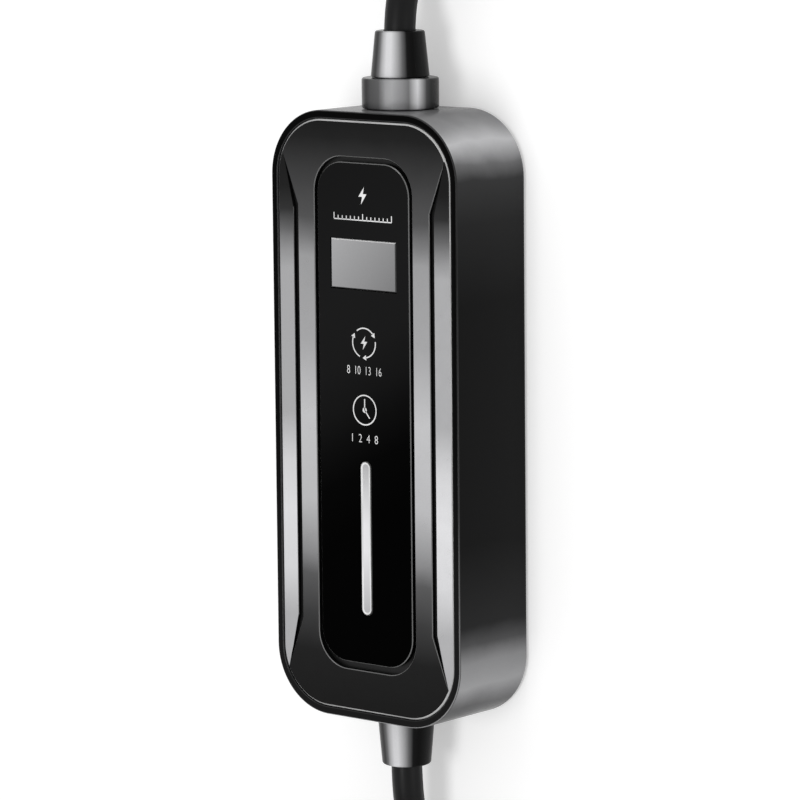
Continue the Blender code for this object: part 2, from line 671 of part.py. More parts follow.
def make_front_cover():
    """Make the moulded front cover with facets, grooves, pocket and bosses."""
    bm = bmesh.new()
    skirt_inset = COVER_INSET + SKIRT_THICKNESS
    rings = (
        box_ring(skirt_inset, COVER_UNDERSIDE),
        box_ring(skirt_inset, SKIRT_BOTTOM),
        box_ring(COVER_INSET, SKIRT_BOTTOM),
        box_ring(COVER_INSET, BOX_DEPTH - EDGE_BEVEL),
        box_ring(COVER_INSET + EDGE_BEVEL, BOX_DEPTH),
    )
    add_loft(bm, rings)
    cover = make_object("front_cover", bm, GUNMETAL, 0.28, 0.8)

    tray = bmesh.new()
    tray_top = BOX_DEPTH - COVER_THICKNESS / 2
    tray_rings = [pocket_ring(TRAY_THICKNESS, z) for z in (TRAY_UNDERSIDE, tray_top)]
    add_loft(tray, tray_rings)
    weld(cover, "cover_tray", tray)

    bosses = bmesh.new()
    boss_bottom = COLUMN_HEIGHT + FIT_GAP
    boss_top = BOX_DEPTH - COVER_THICKNESS / 2
    add_rods(bosses, cover_screw_places(), BOSS_DIAMETER, boss_bottom, boss_top)
    post_bottom = DISPLAY_TOP + FIT_GAP
    post_top = POCKET_FLOOR - TRAY_THICKNESS / 2
    add_rods(bosses, display_screw_places(), DISPLAY_POST_DIAMETER, post_bottom, post_top)
    weld(cover, "cover_bosses", bosses)

    pocket = bmesh.new()
    above = BOX_DEPTH + LEDGE_WIDTH
    add_loft(pocket, (pocket_ring(0.0, POCKET_FLOOR), pocket_ring(0.0, above)))
    cut(cover, "cover_pocket", pocket)

    facets = bmesh.new()
    for side in (-1, 1):
        add_wing_cutter(facets, side)
    cut(cover, "cover_wings", facets)
    grooves = bmesh.new()
    for side in (-1, 1):
        add_groove_cutter(grooves, side)
    cut(cover, "cover_grooves", grooves)

    holes = bmesh.new()
    below = TRAY_UNDERSIDE - FIT_GAP
    add_window_cutters(holes, below, POCKET_FLOOR + FIT_GAP)
    key_hole = SPRING_DIAMETER + 4 * FIT_GAP
    add_rods(holes, key_places(), key_hole, below, POCKET_FLOOR + FIT_GAP)
    pilot = SCREW_SHANK_DIAMETER + 2 * FIT_GAP
    pilot_top = SCREW_WELL_DEPTH + SCREW_LENGTH + 3 * FIT_GAP
    add_rods(holes, cover_screw_places(), pilot, COLUMN_HEIGHT, pilot_top, sides=12)
    small_pilot = SMALL_SHANK_DIAMETER + 2 * FIT_GAP
    small_top = DISPLAY_BOTTOM + SMALL_SCREW_LENGTH + 2 * FIT_GAP
    add_rods(holes, display_screw_places(), small_pilot, DISPLAY_TOP, small_top, sides=12)
    cut(cover, "cover_holes", holes)


def make_cover_seal():
    """Make the flat seal that lies on the ledge under the cover's skirt."""
    outer = COVER_INSET
    inner = WALL - FIT_GAP / 2
    bottom = LEDGE_Z + FIT_GAP
    top = bottom + SEAL_THICKNESS
    bm = bmesh.new()
    corners = ((inner, bottom), (outer, bottom), (outer, top), (inner, top))
    add_loft(bm, [box_ring(inset, z) for inset, z in corners], closed=True)
    make_object("cover_seal", bm, SOFT_BLACK, 0.8)


def panel_ring(inset, z):
    """Give the touch panel's outline, moved inwards by an inset."""
    half_y = (PANEL_Y_TOP - PANEL_Y_BOTTOM) / 2 - inset
    middle = (PANEL_Y_TOP + PANEL_Y_BOTTOM) / 2
    return rounded_ring(PANEL_WIDTH / 2 - inset, half_y, PANEL_RADIUS - inset, z, (0.0, middle))


def make_touch_panel():
    """Make the gloss panel with windows for the lens and the light."""
    bottom = BOX_DEPTH - PANEL_THICKNESS
    bm = bmesh.new()
    rings = (
        panel_ring(0.0, bottom),
        panel_ring(0.0, BOX_DEPTH - PANEL_BEVEL),
        panel_ring(PANEL_BEVEL, BOX_DEPTH),
    )
    add_loft(bm, rings)
    panel = make_object("touch_panel", bm, BLACK, 0.05)
    windows = bmesh.new()
    add_window_cutters(windows, bottom - FIT_GAP, BOX_DEPTH + FIT_GAP)
    cut(panel, "panel_windows", windows)


def make_display_lens():
    """Make the display's lens, with its bevelled top edge."""
    bottom = LCD_TOP + FIT_GAP
    half_x = LENS_WIDTH / 2
    half_y = LENS_HEIGHT / 2
    bm = bmesh.new()
    rings = []
    for inset, z in ((0.0, bottom), (0.0, BOX_DEPTH - LENS_BEVEL), (LENS_BEVEL, BOX_DEPTH)):
        x = half_x - inset
        y = half_y - inset
        corners = ((x, y), (-x, y), (-x, -y), (x, -y))
        rings.append([Vector((px, LENS_Y + py, z)) for px, py in corners])
    add_loft(bm, rings)
    make_object("display_lens", bm, GREY, 0.2)


def make_light_bar():
    """Make the white status light with the flange that holds it from behind."""
    bottom = TRAY_UNDERSIDE - FIT_GAP - BAR_FLANGE
    shoulder = TRAY_UNDERSIDE - FIT_GAP
    bm = bmesh.new()
    rings = (
        bar_ring(BAR_FLANGE, bottom),
        bar_ring(BAR_FLANGE, shoulder),
        bar_ring(0.0, shoulder),
        bar_ring(0.0, BOX_DEPTH - LENS_BEVEL),
        bar_ring(-LENS_BEVEL, BOX_DEPTH),
    )
    add_loft(bm, rings)
    make_object("light_bar", bm, WHITE, 0.25)


def make_display_parts():
    """Make the display board and what it carries behind the touch panel."""
    board = bmesh.new()
    board_size = (DISPLAY_WIDTH, DISPLAY_LENGTH, DISPLAY_THICKNESS)
    board_y = (DISPLAY_Y_TOP + DISPLAY_Y_BOTTOM) / 2
    add_block(board, board_size, (0.0, board_y, DISPLAY_BOTTOM))
    display_board = make_object("display_board", board, BOARD_GREEN, 0.5)
    fitted = bmesh.new()
    add_small_screws(fitted, display_screw_places(), DISPLAY_BOTTOM, 1)
    led_base = DISPLAY_TOP - DISPLAY_THICKNESS / 2
    led_size = (LED_WIDTH, LED_WIDTH, LED_HEIGHT + DISPLAY_THICKNESS / 2)
    for index in range(LED_COUNT):
        y = BAR_Y + BAR_LENGTH * ((index + 0.5) / LED_COUNT - 0.5)
        add_block(fitted, led_size, (0.0, y, led_base))
    weld(display_board, "display_fittings", fitted)

    lcd = bmesh.new()
    lcd_size = (LENS_WIDTH + 2 * LCD_BORDER, LENS_HEIGHT + 2 * LCD_BORDER, LCD_THICKNESS)
    add_block(lcd, lcd_size, (0.0, LENS_Y, DISPLAY_TOP + FIT_GAP), bevel=LCD_BEVEL)
    make_object("lcd_module", lcd, STEEL, 0.35, 0.8)

    for number, (x, y) in enumerate(key_places(), start=1):
        name = f"touch_spring_{number}"
        spring = new_curve(name, SPRING_WIRE, 0, STEEL, 0.3, 1.0)
        add_spline(spring, spring_points(x, y))


def spring_points(x, y):
    """Give the helix of the small coil spring under one touch key."""
    bottom = DISPLAY_TOP + FIT_GAP + SPRING_WIRE / 2
    top = BOX_DEPTH - PANEL_THICKNESS - FIT_GAP - SPRING_WIRE / 2
    radius = (SPRING_DIAMETER - SPRING_WIRE) / 2
    steps_per_turn = 12
    total = SPRING_TURNS * steps_per_turn
    points = []
    for step in range(total + 1):
        angle = math.tau * step / steps_per_turn
        z = bottom + (top - bottom) * step / total
        points.append((x + radius * math.cos(angle), y + radius * math.sin(angle), z))
    return points


def add_small_screws(bm, places, shoulder, way):
    """Add small pan head screws, pointing up for way 1 and down for way -1."""
    direction = FORWARD * way
    head = SMALL_HEAD_DIAMETER / 2
    shank = SMALL_SHANK_DIAMETER / 2
    profile = (
        (head * 0.7, -SMALL_HEAD_HEIGHT),
        (head, -SMALL_HEAD_HEIGHT * 0.5),
        (head, 0.0),
        (shank, 0.0),
        (shank, SMALL_SCREW_LENGTH),
    )
    for x, y in places:
        add_turned(bm, profile, (x, y, shoulder), direction, sides=8)


def make_cover_screws():
    """Make the four screws that hold the cover from behind."""
    head = SCREW_HEAD_DIAMETER / 2
    shank = SCREW_SHANK_DIAMETER / 2
    shoulder = SCREW_WELL_DEPTH - FIT_GAP
    profile = (
        (head * 0.7, shoulder - SCREW_HEAD_HEIGHT),
        (head, shoulder - SCREW_HEAD_HEIGHT * 0.6),
        (head, shoulder),
        (shank, shoulder),
        (shank, shoulder + SCREW_LENGTH),
    )
    for number, (x, y) in enumerate(cover_screw_places(), start=1):
        bm = bmesh.new()
        add_turned(bm, profile, (x, y, 0.0), sides=16)
        make_object(f"cover_screw_{number}", bm, STEEL, 0.3, 1.0)


def make_main_board():
    """Make the main circuit board with its four screws."""
    bm = bmesh.new()
    add_block(bm, (BOARD_WIDTH, BOARD_LENGTH, BOARD_THICKNESS), (0.0, 0.0, BOARD_BOTTOM))
    board = make_object("main_board", bm, BOARD_GREEN, 0.5)
    screws = bmesh.new()
    add_small_screws(screws, board_screw_places(), BOARD_TOP, -1)
    weld(board, "main_board_screws", screws)


def board_place(across, along, height=0.0):
    """Give a point over the main board from its shares and a height."""
    return (BOARD_WIDTH * across, BOARD_LENGTH * along, COMPONENT_BASE + height)


def make_block_part(name, shares, place, colour=SOFT_BLACK, bevel=COMPONENT_BEVEL):
    """Make a component that is a bevelled block on the main board."""
    width, length, height = shares
    room = COMPONENT_ROOM - FIT_GAP
    size = (BOARD_WIDTH * width, BOARD_LENGTH * length, room * height)
    bm = bmesh.new()
    add_block(bm, size, place, bevel)
    make_object(name, bm, colour)


def make_board_parts():
    """Make the components that stand on the main board."""
    make_block_part("line_relay", RELAY_SHARES, board_place(-RELAY_ACROSS, RELAY_ALONG))
    make_block_part("neutral_relay", RELAY_SHARES, board_place(RELAY_ACROSS, RELAY_ALONG))
    transformer_place = board_place(TRANSFORMER_ACROSS, TRANSFORMER_ALONG)
    make_block_part("mains_transformer", TRANSFORMER_SHARES, transformer_place)
    make_block_part("filter_capacitor", FILTER_SHARES, board_place(0.0, FILTER_ALONG), AMBER)
    make_block_part("board_link", LINK_SHARES, board_place(0.0, LINK_ALONG))
    chip_place = board_place(CHIP_ACROSS, CHIP_ALONG)
    make_block_part("controller_chip", CHIP_SHARES, chip_place, bevel=CHIP_BEVEL)
    buzzer_place = board_place(BUZZER_ACROSS, BUZZER_ALONG)
    buzzer_height = COMPONENT_ROOM * BUZZER_HEIGHT_SHARE
    make_can("buzzer", buzzer_place, BUZZER_DIAMETER, buzzer_height, BUZZER_BEVEL, SOFT_BLACK)
    for number, across in enumerate(CAN_ACROSS, start=1):
        name = f"bulk_capacitor_{number}"
        height = COMPONENT_ROOM * CAN_HEIGHT_SHARE
        diameter = BOARD_WIDTH * CAN_DIAMETER_SHARE
        make_can(name, board_place(across, CAN_ALONG), diameter, height, CAN_BEVEL, STEEL)
    make_varistor()
    make_fuse()
    make_leakage_sensor()
    make_terminals("input_terminals", 3, INPUT_TERMINAL_Y)
    make_terminals("output_terminals", 4, OUTPUT_TERMINAL_Y)


def make_can(name, place, diameter, height, bevel, colour):
    """Make a round component that stands on the main board."""
    radius = diameter / 2
    profile = ((radius, 0.0), (radius, height - bevel), (radius - bevel, height))
    bm = bmesh.new()
    add_turned(bm, profile, place, sides=20)
    make_object(name, bm, colour)


def make_varistor():
    """Make the disc that stops voltage surges, standing on its edge."""
    diameter = COMPONENT_ROOM * VARISTOR_HEIGHT_SHARE
    length = BOARD_LENGTH * VARISTOR_LENGTH_SHARE
    place = board_place(VARISTOR_ACROSS, VARISTOR_ALONG, diameter / 2)
    bm = bmesh.new()
    add_rod(bm, diameter, place, length, TO_SUPPLY, sides=20)
    make_object("surge_varistor", bm, BLUE)


def make_fuse():
    """Make the tube fuse with its two end caps, lying on the board."""
    length = BOARD_LENGTH * FUSE_LENGTH_SHARE
    cap_length = length * FUSE_CAP_SHARE
    cap = FUSE_CAP_DIAMETER / 2
    tube = FUSE_TUBE_DIAMETER / 2
    profile = (
        (cap, 0.0),
        (cap, cap_length),
        (tube, cap_length),
        (tube, length - cap_length),
        (cap, length - cap_length),
        (cap, length),
    )
    bm = bmesh.new()
    add_turned(bm, profile, board_place(FUSE_ACROSS, FUSE_ALONG, cap), TO_SUPPLY, sides=16)
    make_object("fuse", bm, WHITE, 0.2)


def make_leakage_sensor():
    """Make the ring core that senses leakage around the live wires."""
    bm = bmesh.new()
    centre = (0.0, SENSOR_Y - SENSOR_LENGTH / 2, COMPONENT_BASE + SENSOR_DIAMETER / 2)
    add_tube(bm, SENSOR_DIAMETER, SENSOR_HOLE_DIAMETER, centre, SENSOR_LENGTH, TO_SUPPLY)
    make_object("leakage_sensor", bm, SOFT_BLACK, 0.5)


def terminal_x(index, count):
    """Give the x place of one way in a terminal block."""
    return TERMINAL_PITCH * (index - (count - 1) / 2)


def make_terminals(name, count, y):
    """Make a terminal block with a screw hole over each way."""
    bm = bmesh.new()
    size = (TERMINAL_PITCH * count, TERMINAL_DEPTH, TERMINAL_HEIGHT)
    add_block(bm, size, (0.0, y, COMPONENT_BASE), bevel=TERMINAL_BEVEL)
    block = make_object(name, bm, EARTH_GREEN, 0.45)
    holes = bmesh.new()
    top = COMPONENT_BASE + TERMINAL_HEIGHT
    for index in range(count):
        place = (terminal_x(index, count), y, top - TERMINAL_HEIGHT / 3)
        add_rod(holes, TERMINAL_HOLE_DIAMETER, place, TERMINAL_HEIGHT, sides=16)
    cut(block, name + "_screw_holes", holes)


def make_core_wires():
    """Make the insulated wires between the cable ends and the terminals."""
    entry_z = COMPONENT_BASE + TERMINAL_HEIGHT / 2
    spread = CORE_DIAMETER / 2 + 2 * FIT_GAP
    cores = (
        ("supply_line_wire", 0, -spread, GLAND_HEIGHT - spread, BROWN),
        ("supply_earth_wire", 1, 0.0, GLAND_HEIGHT + spread, EARTH_GREEN),
        ("supply_neutral_wire", 2, spread, GLAND_HEIGHT - spread, BLUE),
    )
    start_y = CABLE_END_Y - FIT_GAP
    end_y = INPUT_TERMINAL_Y + TERMINAL_DEPTH / 2 + FIT_GAP
    for name, way, x, z, colour in cores:
        way_x = terminal_x(way, len(cores))
        points = (
            (x, start_y, z),
            (x, start_y - CORE_STRAIGHT / 2, z),
            (x, start_y - CORE_STRAIGHT, z),
            ((x + way_x) / 2, (start_y + end_y) / 2, (z + entry_z) / 2),
            (way_x, end_y + CORE_STRAIGHT, entry_z),
            (way_x, end_y + CORE_STRAIGHT / 2, entry_z),
            (way_x, end_y, entry_z),
        )
        make_cable(name, points, CORE_DIAMETER, CORE_DIAMETER * 1.5, colour)
    make_vehicle_wires(entry_z, spread)


def make_vehicle_wires(entry_z, spread):
    """Make the four wires of the vehicle end, the live pair through the sensor."""
    sensor_z = COMPONENT_BASE + SENSOR_DIAMETER / 2
    side = SENSOR_DIAMETER / 2 + CORE_DIAMETER
    cores = (
        ("vehicle_pilot_wire", 0, -spread, spread, -side, ORANGE),
        ("vehicle_line_wire", 1, -spread, -spread, -spread, BROWN),
        ("vehicle_neutral_wire", 2, spread, -spread, spread, BLUE),
        ("vehicle_earth_wire", 3, spread, spread, side, EARTH_GREEN),
    )
    start_y = -CABLE_END_Y + FIT_GAP
    end_y = OUTPUT_TERMINAL_Y - TERMINAL_DEPTH / 2 - FIT_GAP
    reach = SENSOR_LENGTH / 2
    for name, way, x, lift, pass_x, colour in cores:
        way_x = terminal_x(way, len(cores))
        points = (
            (x, start_y, GLAND_HEIGHT + lift),
            (x, start_y + CORE_STRAIGHT / 2, GLAND_HEIGHT + lift),
            (x, start_y + CORE_STRAIGHT, GLAND_HEIGHT + lift),
            (pass_x, SENSOR_Y - reach - CORE_STRAIGHT, sensor_z),
            (pass_x, SENSOR_Y + reach, sensor_z),
            (way_x, end_y - CORE_STRAIGHT, entry_z),
            (way_x, end_y - CORE_STRAIGHT / 2, entry_z),
            (way_x, end_y, entry_z),
        )
        make_cable(name, points, CORE_DIAMETER, CORE_DIAMETER * 1.5, colour)


def make_cable_end(name, side, inner_y, outer_y):
    """Make the jacketed end of a cable, held inside its gland."""
    bm = bmesh.new()
    length = outer_y - inner_y
    direction = TO_SUPPLY * side
    add_rod(bm, CABLE_DIAMETER, (0.0, side * inner_y, GLAND_HEIGHT), length, direction, sides=20)
    make_object(name, bm, SOFT_BLACK, 0.45)


def hexagon_radius(angle):
    """Give the locknut's outside radius in one direction."""
    sixth = math.pi / 3
    off_flat = (angle + sixth / 2) % sixth - sixth / 2
    return LOCKNUT_FLATS / 2 / math.cos(off_flat)


def make_locknut(name, side, outer_y):
    """Make the hexagonal nut that holds a gland from inside."""
    steps = 24
    bore = GLAND_SPIGOT_DIAMETER / 2 + FIT_GAP
    turn = (TO_VEHICLE * side).to_track_quat("Z", "Y")
    origin = Vector((0.0, side * outer_y, GLAND_HEIGHT))
    angles = [math.tau * step / steps for step in range(steps)]
    inside = [bore] * steps
    outside = [hexagon_radius(angle) for angle in angles]
    rings = []
    for radii, height in (
        (inside, 0.0),
        (outside, 0.0),
        (outside, LOCKNUT_THICKNESS),
        (inside, LOCKNUT_THICKNESS),
    ):
        ring = []
        for angle, radius in zip(angles, radii):
            point = Vector((radius * math.cos(angle), radius * math.sin(angle), height))
            ring.append(origin + turn @ point)
        rings.append(ring)
    bm = bmesh.new()
    add_loft(bm, rings, closed=True)
    make_object(name, bm, SOFT_BLACK, 0.5)


def make_supply_gland():
    """Make the supply end: body, seal, collar nut, locknut and strain relief."""
    bore = CABLE_DIAMETER / 2 + FIT_GAP
    spigot = GLAND_SPIGOT_DIAMETER / 2
    wall_inside = HALF_LENGTH - WALL
    body_start = wall_inside - FIT_GAP - LOCKNUT_THICKNESS - SPIGOT_OVERHANG
    collar_start = HALF_LENGTH + FIT_GAP
    collar_end = collar_start + COLLAR_LENGTH
    body_end = collar_end - GLAND_LIP - FIT_GAP
    axis = (0.0, 0.0, GLAND_HEIGHT)
    body = bmesh.new()
    body_profile = ((bore, body_start), (spigot, body_start), (spigot, body_end), (bore, body_end))
    add_turned(body, body_profile, axis, TO_SUPPLY, 28, closed=True)
    make_object("supply_gland_body", body, SOFT_BLACK, 0.5)
    make_locknut("supply_gland_locknut", 1, wall_inside - FIT_GAP)

    seal = bmesh.new()
    seal_end = collar_start + GLAND_SEAL_THICKNESS
    seal_profile = (
        (spigot + FIT_GAP, collar_start),
        (GLAND_SEAL_DIAMETER / 2, collar_start),
        (GLAND_SEAL_DIAMETER / 2, seal_end),
        (spigot + FIT_GAP, seal_end),
    )
    add_turned(seal, seal_profile, axis, TO_SUPPLY, 28, closed=True)
    make_object("supply_gland_seal", seal, SOFT_BLACK, 0.8)

    collar = bmesh.new()
    outer = COLLAR_DIAMETER / 2
    neck = bore + NECK_WALL + FIT_GAP
    seal_bore = GLAND_SEAL_DIAMETER / 2 + FIT_GAP
    collar_profile = (
        (seal_bore, collar_start),
        (outer - COLLAR_BEVEL, collar_start),
        (outer, collar_start + COLLAR_BEVEL),
        (outer, collar_end - COLLAR_BEVEL),
        (outer - COLLAR_BEVEL, collar_end),
        (neck, collar_end),
        (neck, collar_end - GLAND_LIP),
        (spigot + FIT_GAP, collar_end - GLAND_LIP),
        (spigot + FIT_GAP, seal_end + FIT_GAP),
        (seal_bore, seal_end + FIT_GAP),
    )
    add_turned(collar, collar_profile, axis, TO_SUPPLY, 28, closed=True)
    make_object("supply_gland_nut", collar, BLACK, 0.2)

    sleeve = bmesh.new()
    sleeve_start = collar_end + FIT_GAP
    sleeve_end = sleeve_start + SUPPLY_SLEEVE_LENGTH
    sleeve_profile = (
        (bore, collar_end - GLAND_LIP),
        (bore + NECK_WALL, collar_end - GLAND_LIP),
        (bore + NECK_WALL, sleeve_start),
        (SLEEVE_ROOT_DIAMETER / 2, sleeve_start),
        (SLEEVE_TIP_DIAMETER / 2, sleeve_end),
        (bore, sleeve_end),
    )
    add_turned(sleeve, sleeve_profile, axis, TO_SUPPLY, 28, closed=True)
    make_object("supply_gland_sleeve", sleeve, SOFT_BLACK, 0.3)


def make_vehicle_gland():
    """Make the vehicle end: strain relief with spigot, inner seal and locknut."""
    bore = CABLE_DIAMETER / 2 + FIT_GAP
    spigot = GLAND_SPIGOT_DIAMETER / 2
    axis = (0.0, 0.0, GLAND_HEIGHT)
    seal_start = HALF_LENGTH - WALL - FIT_GAP - GLAND_SEAL_THICKNESS
    nut_start = seal_start - FIT_GAP
    spigot_start = nut_start - LOCKNUT_THICKNESS - SPIGOT_OVERHANG
    sleeve_start = HALF_LENGTH + FIT_GAP
    sleeve_end = sleeve_start + VEHICLE_SLEEVE_LENGTH
    sleeve = bmesh.new()
    profile = (
        (bore, spigot_start),
        (spigot, spigot_start),
        (spigot, sleeve_start),
        (SLEEVE_ROOT_DIAMETER / 2, sleeve_start),
        (SLEEVE_TIP_DIAMETER / 2, sleeve_end),
        (bore, sleeve_end),
    )
    add_turned(sleeve, profile, axis, TO_VEHICLE, 28, closed=True)
    make_object("vehicle_gland_sleeve", sleeve, SOFT_BLACK, 0.3)
    seal = bmesh.new()
    seal_profile = (
        (spigot + FIT_GAP, seal_start),
        (GLAND_SEAL_DIAMETER / 2, seal_start),
        (GLAND_SEAL_DIAMETER / 2, seal_start + GLAND_SEAL_THICKNESS),
        (spigot + FIT_GAP, seal_start + GLAND_SEAL_THICKNESS),
    )
    add_turned(seal, seal_profile, axis, TO_VEHICLE, 28, closed=True)
    make_object("vehicle_gland_seal", seal, SOFT_BLACK, 0.8)
    make_locknut("vehicle_gland_locknut", -1, nut_start)


def hank_size(lanes, layers):
    """Give a hank's half width and height from its turns."""
    half_width = FOLD_RADIUS + CABLE_DIAMETER * (lanes - 0.5)
    return half_width, CABLE_DIAMETER * layers


def make_hank(name, side, length, lanes, layers):
    """Make the solid outer shape of a folded bundle of cable, and its tie."""
    half_width, height = hank_size(lanes, layers)
    middle = side * (HANK_START + length / 2)
    bm = bmesh.new()
    rings = []
    for z in (HANK_REST, HANK_REST + height):
        rings.append(rounded_ring(half_width, length / 2, half_width, z, (0.0, middle), steps=12))
    add_loft(bm, rings)
    make_object(name + "_hank", bm, SOFT_BLACK, 0.45)
    make_tie(name + "_tie", middle, half_width, HANK_REST + height)


def make_tie(name, middle, half_width, hank_top):
    """Make the strap that goes round the middle of a hank."""
    bm = bmesh.new()
    inner_x = half_width + FIT_GAP
    outer_x = inner_x + TIE_THICKNESS
    inner_top = hank_top + FIT_GAP
    outer_top = inner_top + TIE_THICKNESS
    rings = []
    for reach, x, bottom, top in (
        (-1, inner_x, TIE_THICKNESS, inner_top),
        (-1, outer_x, 0.0, outer_top),
        (1, outer_x, 0.0, outer_top),
        (1, inner_x, TIE_THICKNESS, inner_top),
    ):
        y = middle + reach * TIE_WIDTH / 2
        corners = ((-x, bottom), (x, bottom), (x, top), (-x, top))
        rings.append([Vector((px, y, pz)) for px, pz in corners])
    add_loft(bm, rings, closed=True)
    make_object(name, bm, SOFT_BLACK, 0.7)


def lead_route(side, start_y):
    """Give the knots of a cable from its gland down to its hank."""
    drop = GLAND_HEIGHT - HANK_LEVEL
    knots = [(0.0, side * (start_y + FIT_GAP), GLAND_HEIGHT)]
    for run_share, drop_share in LEAD_SHARES:
        y = HALF_LENGTH + LEAD_RUN * run_share
        knots.append((0.0, side * y, GLAND_HEIGHT - drop * drop_share))
    knots.append((0.0, side * (HANK_START - FIT_GAP), HANK_LEVEL))
    return knots


def tail_route(side, length, top, shares, approach, end_x, end_z):
    """Give the knots of a cable's last stretch, over its hank to its end piece."""
    knots = []
    for across, along, up in shares:
        y = side * (HANK_START + length * along)
        knots.append((FOLD_RADIUS * across, y, top + CABLE_DIAMETER * up))
    for along in approach:
        knots.append((end_x, side * (HANK_START + length * along), end_z))
    return knots


def supply_tail_route():
    """Give the knots of the supply cable's last stretch."""
    return tail_route(
        1,
        SUPPLY_HANK_LENGTH,
        SUPPLY_HANK_TOP,
        SUPPLY_TAIL_SHARES,
        PLUG_APPROACH_SHARES,
        PLUG_X,
        PLUG_Z,
    )


def vehicle_tail_route():
    """Give the knots of the vehicle cable's last stretch."""
    return tail_route(
        -1,
        VEHICLE_HANK_LENGTH,
        VEHICLE_HANK_TOP,
        VEHICLE_TAIL_SHARES,
        CONNECTOR_APPROACH_SHARES,
        CONNECTOR_X,
        CONNECTOR_TAIL_Z,
    )


def make_cables():
    """Make both cables: the leads at the box, the hanks and the last stretches."""
    make_cable_end("supply_cable_end", 1, CABLE_END_Y, SUPPLY_CABLE_START)
    make_cable_end("vehicle_cable_end", -1, CABLE_END_Y, VEHICLE_CABLE_START)
    routes = (
        ("supply_lead", lead_route(1, SUPPLY_CABLE_START)),
        ("vehicle_lead", lead_route(-1, VEHICLE_CABLE_START)),
        ("supply_tail", supply_tail_route()),
        ("vehicle_tail", vehicle_tail_route()),
    )
    for name, route in routes:
        make_cable(name, route, CABLE_DIAMETER, CABLE_SPACING)
    make_hank("supply", 1, SUPPLY_HANK_LENGTH, SUPPLY_LANES, SUPPLY_LAYERS)
    make_hank("vehicle", -1, VEHICLE_HANK_LENGTH, VEHICLE_LANES, VEHICLE_LAYERS)


def make_plug():
    """Make the round mains plug that lies on the supply hank, with its sleeve."""
    sleeve_start = supply_tail_route()[-1][1] + FIT_GAP
    body_start = sleeve_start + PLUG_SLEEVE_LENGTH
    axis = (PLUG_X, 0.0, PLUG_Z)
    tip = CABLE_DIAMETER / 2 + PLUG_SLEEVE_WALL
    sleeve = bmesh.new()
    sleeve_profile = (
        (tip, sleeve_start),
        (SLEEVE_TIP_DIAMETER / 2, body_start - FIT_GAP),
    )
    add_turned(sleeve, sleeve_profile, axis, TO_SUPPLY, 24)
    make_object("plug_sleeve", sleeve, SOFT_BLACK, 0.45)
    make_plug_body(body_start, axis)


def make_plug_body(start, axis):
    """Make the plug's body with its pins and the clips in its sides."""
    radius = PLUG_DIAMETER / 2
    end = start + PLUG_LENGTH
    profile = [(radius * r, start + PLUG_LENGTH * y) for r, y in PLUG_OUTLINE]
    profile.append((radius, end - PLUG_EDGE))
    profile.append((radius - PLUG_EDGE, end))
    body = bmesh.new()
    add_turned(body, profile, axis, TO_SUPPLY, 32)
    plug = make_object("plug_body", body, SOFT_BLACK, 0.4)
    seats = bmesh.new()
    metal = bmesh.new()
    seat_y = end - CLIP_LENGTH / 2 + FIT_GAP
    seat_size = (CLIP_WIDTH + 2 * FIT_GAP, CLIP_LENGTH, 2 * CLIP_DEPTH)
    clip_size = (CLIP_WIDTH, CLIP_LENGTH - 4 * FIT_GAP, CLIP_DEPTH)
    for side in (-1, 1):
        seat_z = PLUG_Z + side * radius
        add_block(seats, seat_size, (PLUG_X, seat_y, seat_z - CLIP_DEPTH))
        clip_z = PLUG_Z + side * (radius - CLIP_DEPTH)
        add_block(metal, clip_size, (PLUG_X, seat_y, clip_z - CLIP_DEPTH / 2))
    cut(plug, "plug_clip_seats", seats)
    pin_profile = (
        (PIN_DIAMETER / 2, end - PIN_DIAMETER),
        (PIN_DIAMETER / 2, end + PIN_LENGTH - PIN_POINT),
        (PIN_DIAMETER / 4, end + PIN_LENGTH),
    )
    for side in (-1, 1):
        centre = (PLUG_X + side * PIN_SPACING / 2, 0.0, PLUG_Z)
        add_turned(metal, pin_profile, centre, TO_SUPPLY, 16)
    weld(plug, "plug_metal", metal)


def nose_ring(radius, y, centre, steps=28):
    """Give a round outline with a flat top, standing across the Y axis."""
    flat = radius - NOSE_DIAMETER / 2 + NOSE_FLAT
    points = []
    for step in range(steps):
        angle = math.tau * step / steps
        z = min(radius * math.sin(angle), flat)
        points.append(Vector((centre[0] + radius * math.cos(angle), y, centre[1] + z)))
    return points


def contact_places(centre):
    """Give the places of the seven contacts: one in the middle, six round it."""
    places = [centre]
    for step in range(6):
        angle = math.tau * (step + 0.5) / 6
        x = centre[0] + CONTACT_RING_RADIUS * math.cos(angle)
        z = centre[1] + CONTACT_RING_RADIUS * math.sin(angle)
        places.append((x, z))
    return places


def make_connector():
    """Make the vehicle connector that lies on the vehicle hank."""
    sleeve_start = vehicle_tail_route()[-1][1] + FIT_GAP
    handle_start = sleeve_start + CONNECTOR_SLEEVE_LENGTH + FIT_GAP
    nose_start = handle_start + HANDLE_LENGTH + FIT_GAP
    make_connector_nose(nose_start, nose_start + NOSE_LENGTH, (CONNECTOR_X, NOSE_Z))
    make_connector_handle(handle_start, nose_start - FIT_GAP)
    make_connector_sleeve(sleeve_start, handle_start - FIT_GAP)


